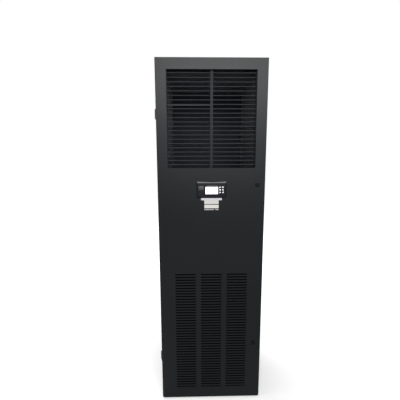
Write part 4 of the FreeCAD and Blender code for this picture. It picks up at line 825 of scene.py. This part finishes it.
@dataclass
class Display:
    """The display on the door: bezel, lit screen, keys, board and a blank badge."""

    keys: int = 6
    bezel_edge: float = 0.5 * MM
    key_edge: float = 0.4 * MM
    window_lap: float = 2.5 * MM
    window_step: float = 3.0 * MM
    step_overlap: float = 0.2 * MM
    mask_recess: float = 0.1 * MM
    # The mask's borders round the lit field: left, right, foot and head.
    mask: tuple[float, float, float, float] = (2.4 * MM, 3.6 * MM, 0.3 * MM, 7.6 * MM)
    lit_sheet: float = 0.3 * MM
    badge_x: Pair = (-0.0720, -0.0440)
    badge_z: Pair = (1.3080, 1.3290)
    badge_thickness: float = 0.6 * MM
    badge_sink: float = 0.1 * MM
    # Each chip in mm: its middle, across from the cabinet's and up from the board's, width and height.
    chips: tuple[tuple[float, float, float, float], ...] = (
        (-38, 8, 14, 14), (-10, -6, 20, 8), (18, 10, 9, 9), (24, -12, 6, 4), (40, 2, 8, 12))
    chip_height: float = 1.5 * MM
    plug_x: Pair = (-60.0 * MM, -30.0 * MM)
    plug_rise: Pair = (-20.0 * MM, -12.0 * MM)
    plug_height: float = 2.6 * MM
    solder_sink: float = 0.05 * MM

    def build(self) -> None:
        """Dress the display and add its screen, badge and chips."""
        keys = ["display_key_%d" % key for key in range(1, self.keys + 1)]
        dress(BEZEL_PLASTIC, "display_bezel")
        dress(KEY_PLASTIC, *keys)
        dress(BOARD_GREEN, "display_board")
        ease_edges(self.bezel_edge, "display_bezel")
        ease_edges(self.key_edge, *keys)
        self._screen()
        self._badge()
        self._chips()

    def _screen(self) -> None:
        """Build the window's dark mask with its lapped rim, and the lit field in it."""
        low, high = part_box("display_window")
        lap = self.window_lap
        step = low.y + self.window_step
        left, right, foot, head = self.mask
        forge = Forge(BEZEL_PLASTIC, SCREEN)
        forge.block(
            (low.x + lap, high.x - lap), (low.y + self.mask_recess, step + self.step_overlap),
            (low.z + lap, high.z - lap), bevel=0.3 * MM)
        forge.block((low.x, high.x), (step, high.y), (low.z, high.z), bevel=0.2 * MM)
        forge.take(SCREEN)
        forge.block(
            (low.x + lap + left, high.x - lap - right), (low.y, low.y + self.lit_sheet),
            (low.z + lap + foot, high.z - lap - head))
        forge.finish("display_screen", Body.DOOR, Slot.SCREEN_GLASS, "display_window")

    def _badge(self) -> None:
        """Set a blank badge plate on the bezel, left of the screen."""
        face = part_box("display_bezel")[0].y
        forge = Forge(BADGE)
        forge.block(
            self.badge_x, (face - self.badge_thickness, face + self.badge_sink), self.badge_z,
            bevel=0.25 * MM)
        forge.finish("display_badge", Body.DOOR, Slot.LOCK_METAL)

    def _chips(self) -> None:
        """Solder chips and a plug socket to the back of the board."""
        low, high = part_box("display_board")
        seat = high.y - self.solder_sink
        middle = (low.z + high.z) / 2
        forge = Forge(GEAR_BLACK, GEAR_PALE)
        for x, z, wide, tall in self.chips:
            forge.block(
                about(x * MM, wide * MM / 2), (seat, high.y + self.chip_height),
                about(middle + z * MM, tall * MM / 2), bevel=0.2 * MM)
        forge.take(GEAR_PALE)
        foot, head = self.plug_rise
        forge.block(
            self.plug_x, (seat, high.y + self.plug_height), (middle + foot, middle + head), bevel=0.3 * MM)
        forge.finish("display_board_chips", Body.DOOR, Slot.GEAR_PLASTIC)


@dataclass
class ReturnFilter:
    """The pleated filter behind the return slots."""

    rim: float = 16.0 * MM
    pleat: float = 12.0 * MM
    paper: float = 0.9 * MM
    fold_front: float = 1.2 * MM
    fold_rear: float = 2.4 * MM
    strips: int = 4
    strip_width: float = 3.0 * MM
    # How far in front of the filter's rear the strips begin and end.
    strip_depths: Pair = (1.4 * MM, 0.4 * MM)
    tab_width: float = 46.0 * MM
    tab_height: float = 12.0 * MM
    tab_drop: float = 2.0 * MM
    tab_sink: float = 0.2 * MM
    tab_proud: float = 1.2 * MM

    def build(self) -> None:
        """Build the rim, the pleats, the support strips and the pull tab."""
        low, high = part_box("air_filter")
        forge = Forge(FILTER_FRAME_AND_SHADE, FILTER_CLOTH)
        left, right = low.x + self.rim, high.x - self.rim
        foot, head = low.z + self.rim, high.z - self.rim
        depth = (low.y, high.y)
        for x in ((low.x, left), (right, high.x)):
            forge.block(x, depth, (low.z, high.z), bevel=0.8 * MM)
        for z in ((low.z, foot), (head, high.z)):
            forge.block((left, right), depth, z, bevel=0.8 * MM)
        front, rear = self.strip_depths
        for x in spaced(left, right, self.strips + 2)[1:-1]:
            forge.block(about(x, self.strip_width / 2), (high.y - front, high.y - rear), (foot, head))
        top = high.z - self.tab_drop
        forge.block(
            about(0.0, self.tab_width / 2), (high.y - self.tab_sink, high.y + self.tab_proud),
            (top - self.tab_height, top), bevel=0.4 * MM)
        forge.take(FILTER_CLOTH)
        self._pleats(
            forge, (left, right), (low.y + self.fold_front, high.y - self.fold_rear), (foot, head))
        forge.finish("pleated_filter", Body.FILTER, Slot.FILTER_CLOTH, "air_filter")

    def _pleats(self, forge: Forge, x: Pair, y: Pair, z: Pair) -> None:
        """Fold the filter sheet into pleats inside the rim.

        Args:
            forge: Where the faces go.
            x: The sheet's two ends across.
            y: Where it folds, in front and at the rear.
            z: Its two ends upward.
        """
        folds = 2 * round((z[1] - z[0]) / self.pleat)
        half = self.paper / 2
        front = []
        back = []
        for fold, height in enumerate(spaced(*z, folds + 1)):
            near, far = about(y[fold % 2], half)
            front.append((near, height))
            back.append((far, height))
        outline = front + back[::-1]
        rings = [[forge.mesh.verts.new((end, *spot)) for spot in outline] for end in x]
        count = len(outline)
        for index in range(count):
            after = (index + 1) % count
            corners = (rings[0][index], rings[0][after], rings[1][after], rings[1][index])
            forge.mesh.faces.new(corners).material_index = forge.look
        for ring in rings:
            for fold in range(folds):
                corners = (ring[fold], ring[fold + 1], ring[count - 2 - fold], ring[count - 1 - fold])
                forge.mesh.faces.new(corners).material_index = forge.look


@dataclass
class FanSection:
    """The deck, fan, motor and duct above the return chamber, and the dark foam that lines the duct and
    also paints the shade deep inside it.
    """

    duct_half: float = 0.2445
    duct_rear: float = 0.2320
    margin: float = 1.0 * MM
    glue: float = 0.1 * MM
    foam_depth: float = 4.5 * MM
    foam_crest: float = 1.2 * MM
    foam_pitch: float = 24.0 * MM
    foam_columns: int = 80
    foam_rows: int = 88

    def build(self) -> None:
        """Dress the fan section and line the rear of its duct."""
        dress(ZINC, "fan_deck")
        dress(DUCT_PAINT, "supply_plenum")
        dress(MOTOR_CASTING, "fan_motor")
        dress(FAN_ALUMINIUM, "fan_impeller")
        self._lining_with_painted_shade()

    def _lining_with_painted_shade(self) -> None:
        """Glue a sheet of waffled foam to the inside of the duct's rear wall; its dark colour is also
        painted shade for the depth of the duct.
        """
        low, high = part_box("supply_plenum")
        back = self.duct_rear - self.glue
        half = self.duct_half - self.margin
        z0, z1 = low.z + self.margin, high.z - self.margin
        turn = 2 * math.pi / self.foam_pitch
        sections = []
        for x in spaced(-half, half, self.foam_columns + 1):
            section = [Vector((x, back, z1)), Vector((x, back, z0))]
            for z in spaced(z0, z1, self.foam_rows + 1):
                wave = math.sin(turn * x) * math.sin(turn * z)
                section.append(Vector((x, back - self.foam_depth - self.foam_crest * wave, z)))
            sections.append(section)
        forge = Forge(DUCT_FOAM_AND_SHADE)
        forge.sweep(sections, closed=False)
        forge.finish("duct_lining_and_painted_shade", Body.CABINET, Slot.FILTER_CLOTH)


@dataclass
class CoolingCoil:
    """The slanted coil with its fine fins, tubes and tray."""

    half: float = 0.235
    length: float = 0.600
    depth: float = 0.066
    lean: float = 28.0
    foot: Pair = (-0.120, 0.2155)
    fins: int = 190
    fin_sheet: float = 0.25 * MM
    plate: float = 2.0 * MM
    plate_lap: float = 8.0 * MM
    head_tab: float = 70.0 * MM
    foot_tab: float = 35.0 * MM

    def build(self) -> None:
        """Dress the tubes and tray and build the fin pack."""
        dress(COPPER, "coil_tubes")
        dress(ZINC, "drain_pan")
        self._fin_pack()

    def _place(self) -> Matrix:
        """Give the coil's own frame: X across the cabinet, Y through the fins, Z up its slope."""
        y, z = self.foot
        return Matrix.Translation((0.0, y, z)) @ Matrix.Rotation(-math.radians(self.lean), 4, "X")

    def _fin_pack(self) -> None:
        """Stack fine fins between two end plates with tabs to the deck and the tray."""
        forge = Forge(FIN_ALUMINIUM, ZINC)
        place = self._place()
        pitch = 2 * self.half / (self.fins + 1)
        deep = self.depth / 2
        for index in range(1, self.fins + 1):
            x = index * pitch - self.half
            forge.block((x, x + self.fin_sheet), (-deep, deep), (0.0, self.length), place=place)
        forge.take(ZINC)
        low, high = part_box("coil_fins")
        head = place @ Vector((0.0, 0.0, self.length))
        foot = place @ Vector((0.0, 0.0, 0.0))
        lap = self.plate_lap
        half = self.head_tab / 2
        for left in (-self.half - self.plate, self.half):
            plate = (left, left + self.plate)
            forge.block(plate, about(0.0, deep + lap), (-lap, self.length + lap), place=place)
            forge.block(plate, about(head.y, half), (head.z - half, high.z))
            forge.block(plate, about(foot.y, self.foot_tab / 2), (low.z, foot.z + half))
        forge.finish("coil_fin_pack", Body.CABINET, Slot.FIN_ALUMINIUM, "coil_fins")


@dataclass
class RefrigerantCircuit:
    """The compressor, pipes, drier and fittings."""

    def build(self) -> None:
        """Dress the refrigerant circuit."""
        dress(ENAMEL, "compressor", "filter_drier")
        dress(COPPER, "refrigerant_pipes")
        dress(BRASS, "pipe_fittings")


@dataclass(frozen=True)
class BoardRow:
    """A row of equal block-shaped parts on the control board, placed from the board's middle."""

    look: Look
    count: int
    first: float
    pitch: float
    width: float
    rise: Pair
    height: float


@dataclass
class ControlGear:
    """The control box with its rails, terminals, switchgear and board."""

    rail_half: float = 0.208
    rail_height: float = 35.0 * MM
    rail_lip: float = 5.0 * MM
    rail_sheet: float = 1.0 * MM
    seat: float = -0.159
    back: float = -0.1515
    lower: float = 1.040
    middle: float = 1.152
    upper: float = 1.282
    # How far one moulding reaches into the next.
    overlap: float = 0.2 * MM
    # How far from the middle the terminal's and the other gear's screws sit, as shares of the height.
    terminal_spread: float = 0.36
    gear_spread: float = 0.38
    terminals: int = 12
    terminal_pitch: float = 10.0 * MM
    terminal_gap: float = 0.3 * MM
    terminal_size: Pair = (40.0 * MM, 46.0 * MM)
    terminal_ledge: float = 12.0 * MM
    terminal_screw: float = 2.4 * MM
    breaker_size: Point = (36.0 * MM, 62.0 * MM, 82.0 * MM)
    breaker_poles: int = 2
    breaker_gap: float = 0.2 * MM
    breaker_ledge: float = 16.0 * MM
    breaker_nose: float = 6.0 * MM
    breaker_screw: float = 3.2 * MM
    toggle_inset: float = 4.0 * MM
    toggle_depth: float = 7.0 * MM
    toggle_rise: Pair = (-2.0 * MM, 9.0 * MM)
    contactors: int = 3
    contactor_size: Point = (45.0 * MM, 70.0 * MM, 74.0 * MM)
    contactor_gap: float = 26.0 * MM
    contactor_poles: int = 3
    contactor_ledge: float = 26.0 * MM
    contactor_nose: float = 5.0 * MM
    contactor_inset: float = 2.0 * MM
    contactor_screw: float = 3.4 * MM
    armature_inset: float = 15.0 * MM
    armature_half: float = 7.0 * MM
    board_size: Pair = (180.0 * MM, 110.0 * MM)
    board_front: float = -0.1631
    board_thickness: float = 1.6 * MM
    post_inset: float = 6.0 * MM
    post_radius: float = 3.0 * MM
    post_screw: float = 2.6 * MM
    solder_sink: float = 0.1 * MM
    # Each chip in mm: its middle across and up from the board's middle, and its side.
    chips: tuple[tuple[float, float, float], ...] = ((-20, 8, 22), (22, 14, 14), (-58, -12, 12))
    chip_height: float = 2.0 * MM
    relays: BoardRow = BoardRow(
        GEAR_BLACK, 4, 30.0 * MM, 14.0 * MM, 12.0 * MM, (-42.0 * MM, -14.0 * MM), 15.0 * MM)
    plugs: BoardRow = BoardRow(
        GEAR_PALE, 6, -76.0 * MM, 24.0 * MM, 20.0 * MM, (34.0 * MM, 46.0 * MM), 9.0 * MM)
    capacitors: int = 3
    capacitor_first: Pair = (-66.0 * MM, -36.0 * MM)
    capacitor_pitch: float = 16.0 * MM
    capacitor_outline: tuple[Pair, ...] = (
        (0.0, 0.0), (6.0 * MM, 0.0), (6.0 * MM, 17.0 * MM), (5.4 * MM, 18.0 * MM), (0.0, 18.0 * MM))

    def build(self) -> None:
        """Dress the box and build what it holds."""
        dress(ZINC, "control_box")
        forge = Forge(ZINC, GEAR_PALE, GEAR_GREY, GEAR_BLACK, BOARD_GREEN, SCREW_STEEL)
        self._rails(forge)
        self._terminals(forge)
        self._breaker(forge)
        self._contactors(forge)
        self._board(forge)
        self._board_parts(forge)
        forge.finish("switchgear", Body.CABINET, Slot.GEAR_PLASTIC, "control_gear")

    def _rails(self, forge: Forge) -> None:
        """Add the two hat-shaped rails.

        Args:
            forge: Where the faces go.
        """
        forge.take(ZINC)
        wide = about(0.0, self.rail_half)
        lip, sheet = self.rail_lip, self.rail_sheet
        for middle in (self.lower, self.middle):
            foot, head = about(middle, self.rail_height / 2)
            forge.block(wide, (self.back - sheet, self.back), (foot + lip, head - lip))
            for z in (foot, head - lip):
                forge.block(wide, (self.seat, self.seat + sheet), (z, z + lip))
            for z in (foot + lip - sheet, head - lip):
                forge.block(wide, (self.seat, self.back), (z, z + sheet))

    def _terminals(self, forge: Forge) -> None:
        """Add a row of terminals, each with two screws.

        Args:
            forge: Where the faces go.
        """
        deep, tall = self.terminal_size
        front = self.seat - deep
        ledge = front + self.terminal_ledge
        for index in range(self.terminals):
            left = -self.rail_half + index * self.terminal_pitch
            wide = (left, left + self.terminal_pitch - self.terminal_gap)
            forge.take(GEAR_PALE)
            forge.block(wide, (ledge, self.seat), about(self.lower, tall / 2), bevel=0.5 * MM)
            forge.block(wide, (front, ledge + self.overlap), about(self.lower, tall / 5), bevel=0.5 * MM)
            forge.take(SCREW_STEEL)
            for z in about(self.lower, self.terminal_spread * tall):
                forge.screw(self.terminal_screw, facing(Way.FRONT, (sum(wide) / 2, ledge, z)))

    def _breaker(self, forge: Forge) -> None:
        """Add a breaker with a toggle on each pole.

        Args:
            forge: Where the faces go.
        """
        wide, deep, tall = self.breaker_size
        front = self.seat - deep
        ledge = front + self.breaker_ledge
        nose = front + self.breaker_nose
        pitch = wide / self.breaker_poles
        foot, head = self.toggle_rise
        for pole in range(self.breaker_poles):
            left = self.rail_half - wide + pole * pitch
            right = left + pitch - self.breaker_gap
            forge.take(GEAR_PALE)
            forge.block((left, right), (ledge, self.seat), about(self.lower, tall / 2), bevel=0.8 * MM)
            forge.block(
                (left, right), (nose, ledge + self.overlap), about(self.lower, tall / 4), bevel=0.8 * MM)
            forge.take(GEAR_BLACK)
            forge.block(
                (left + self.toggle_inset, right - self.toggle_inset), (front, front + self.toggle_depth),
                (self.lower + foot, self.lower + head), bevel=0.8 * MM)
            forge.take(SCREW_STEEL)
            for z in about(self.lower, self.gear_spread * tall):
                forge.screw(self.breaker_screw, facing(Way.FRONT, ((left + right) / 2, ledge, z)))

    def _contactors(self, forge: Forge) -> None:
        """Add the contactors, each with its armature and terminal screws.

        Args:
            forge: Where the faces go.
        """
        wide, deep, tall = self.contactor_size
        front = self.seat - deep
        ledge = front + self.contactor_ledge
        nose = front + self.contactor_nose
        for index in range(self.contactors):
            left = -self.rail_half + index * (wide + self.contactor_gap)
            right = left + wide
            forge.take(GEAR_BLACK)
            forge.block((left, right), (ledge, self.seat), about(self.middle, tall / 2), bevel=1.0 * MM)
            forge.take(GEAR_GREY)
            forge.block(
                (left + self.contactor_inset, right - self.contactor_inset), (nose, ledge + self.overlap),
                about(self.middle, tall / 4), bevel=1.0 * MM)
            forge.take(GEAR_PALE)
            forge.block(
                (left + self.armature_inset, right - self.armature_inset), (front, nose + self.overlap),
                about(self.middle, self.armature_half), bevel=0.6 * MM)
            forge.take(SCREW_STEEL)
            for pole in range(self.contactor_poles):
                x = left + (pole + 0.5) * wide / self.contactor_poles
                for z in about(self.middle, self.gear_spread * tall):
                    forge.screw(self.contactor_screw, facing(Way.FRONT, (x, ledge, z)))

    def _board(self, forge: Forge) -> None:
        """Add the bare control board on its four posts.

        Args:
            forge: Where the faces go.
        """
        wide, tall = self.board_size
        front = self.board_front
        rear = front + self.board_thickness
        gap = self.back - rear
        post = [(0.0, 0.0), (self.post_radius, 0.0), (self.post_radius, gap), (0.0, gap)]
        forge.take(BOARD_GREEN)
        forge.block(about(0.0, wide / 2), (front, rear), about(self.upper, tall / 2), bevel=0.2 * MM)
        forge.take(SCREW_STEEL)
        for x in about(0.0, wide / 2 - self.post_inset):
            for z in about(self.upper, tall / 2 - self.post_inset):
                forge.lathe(post, facing(Way.REAR, (x, rear, z)), steps=12)
                forge.screw(self.post_screw, facing(Way.FRONT, (x, front, z)))

    def _board_parts(self, forge: Forge) -> None:
        """Add the board's chips, relays, plug sockets and capacitors.

        Args:
            forge: Where the faces go.
        """
        front = self.board_front
        seat = front + self.solder_sink
        forge.take(GEAR_BLACK)
        for x, z, side in self.chips:
            forge.block(
                about(x * MM, side * MM / 2), (front - self.chip_height, seat),
                about(self.upper + z * MM, side * MM / 2), bevel=0.3 * MM)
        for row in (self.relays, self.plugs):
            forge.take(row.look)
            foot, head = row.rise
            for index in range(row.count):
                x = row.first + index * row.pitch
                forge.block(
                    (x, x + row.width), (front - row.height, seat),
                    (self.upper + foot, self.upper + head), bevel=0.6 * MM)
        forge.take(GEAR_GREY)
        first, rise = self.capacitor_first
        for index in range(self.capacitors):
            place = facing(Way.FRONT, (first + index * self.capacitor_pitch, front, self.upper + rise))
            forge.lathe(list(self.capacitor_outline), place, steps=20)


@dataclass(frozen=True)
class Softbox:
    """A soft lamp: where it hangs, what it points at, its width and height, and its power in watts."""

    name: str
    spot: Point
    aim: Point
    width: float
    height: float
    watts: float

    def hang(self) -> None:
        """Add the lamp to the scene."""
        lamp = bpy.data.lights.new(self.name, "AREA")
        lamp.shape = "RECTANGLE"
        lamp.size = self.width
        lamp.size_y = self.height
        lamp.energy = self.watts
        obj = bpy.data.objects.new(self.name, lamp)
        obj.location = self.spot
        obj.rotation_euler = (Vector(self.aim) - Vector(self.spot)).to_track_quat("-Z", "Y").to_euler()
        bpy.context.scene.collection.objects.link(obj)


@dataclass
class Studio:
    """The pale floor, the soft light and the camera."""

    floor_half: float = 12.0
    floor_cells: int = 8
    floor_middle: Point = (0.0, -2.0, -0.3 * MM)
    ambient: float = 0.24
    lamps: tuple[Softbox, ...] = (
        Softbox("upper softbox", (0.35, -4.8, 3.4), (0.0, -0.3, 1.6), 3.4, 1.4, 225.0),
        Softbox("front softbox", (0.5, -4.8, 1.9), (0.0, -0.3, 1.4), 3.0, 1.6, 46.0),
        Softbox("overhead strip", (0.0, -0.5, 4.2), (0.0, -0.5, 0.0), 2.0, 0.6, 40.0),
        Softbox("rear softbox", (-1.5, 4.0, 3.6), (0.0, 0.3, 1.0), 3.0, 2.0, 160.0))
    eye: Point = (-0.098, -1.8578, 1.4441)
    yaw: float = 1.229
    pitch: float = 8.708
    roll: float = -0.175
    # The camera's lens and the width of its picture, in mm.
    lens: float = 25.2
    sensor: float = 36.0
    shift_y: float = 0.02

    def build(self) -> None:
        """Lay the floor, set the lights and place the camera."""
        bpy.context.scene.view_settings.view_transform = "Standard"
        self._floor()
        self._world()
        for lamp in self.lamps:
            lamp.hang()
        self._camera()

    def _floor(self) -> None:
        """Lay the floor under the object and its surroundings."""
        cells = self.floor_cells
        mesh = bmesh.new()
        bmesh.ops.create_grid(mesh, x_segments=cells, y_segments=cells, size=self.floor_half)
        data = bpy.data.meshes.new("studio_floor")
        mesh.to_mesh(data)
        mesh.free()
        data.materials.append(FLOOR.material())
        floor = bpy.data.objects.new("studio_floor", data)
        floor.location = self.floor_middle
        bpy.context.scene.collection.objects.link(floor)

    def _world(self) -> None:
        """Light the room evenly, with a white backdrop."""
        world = bpy.data.worlds.new("studio")
        bpy.context.scene.world = world
        world.use_nodes = True
        pen = NodePen(world.node_tree)
        back = pen.add("Background", {"Color": WHITE})
        level = pen.add("MapRange", {"To Min": self.ambient, "To Max": 1.0})
        output = pen.add("OutputWorld")
        pen.link(pen.seen_rays(), level.inputs["Value"])
        pen.link(level.outputs["Result"], back.inputs["Strength"])
        pen.link(back.outputs[0], output.inputs["Surface"])

    def _camera(self) -> None:
        """Stand the camera where the photograph was taken from."""
        yaw, pitch, roll = (math.radians(angle) for angle in (self.yaw, self.pitch, self.roll))
        ahead = Vector((math.sin(yaw) * math.cos(pitch), math.cos(yaw) * math.cos(pitch), -math.sin(pitch)))
        right = Vector((math.cos(yaw), -math.sin(yaw), 0.0))
        up = right.cross(ahead)
        turned_right = right * math.cos(roll) + up * math.sin(roll)
        turned_up = up * math.cos(roll) - right * math.sin(roll)
        data = bpy.data.cameras.new("camera")
        data.lens = self.lens
        data.sensor_width = self.sensor
        data.shift_y = self.shift_y
        camera = bpy.data.objects.new("camera", data)
        basis = Matrix((turned_right, turned_up, -ahead)).transposed().to_4x4()
        camera.matrix_world = Matrix.Translation(self.eye) @ basis
        bpy.context.scene.collection.objects.link(camera)
        bpy.context.scene.camera = camera


def main() -> None:
    """Build every sub-assembly in order, then the studio."""
    logging.basicConfig(level=logging.INFO, format="%(message)s")
    parts = (
        Cabinet(), Door(), Outlet(), Display(), ReturnFilter(), FanSection(), CoolingCoil(),
        RefrigerantCircuit(), ControlGear(), Studio())
    for part in parts:
        LOG.info("building %s", type(part).__name__)
        part.build()


if __name__ == "__main__":
    main()
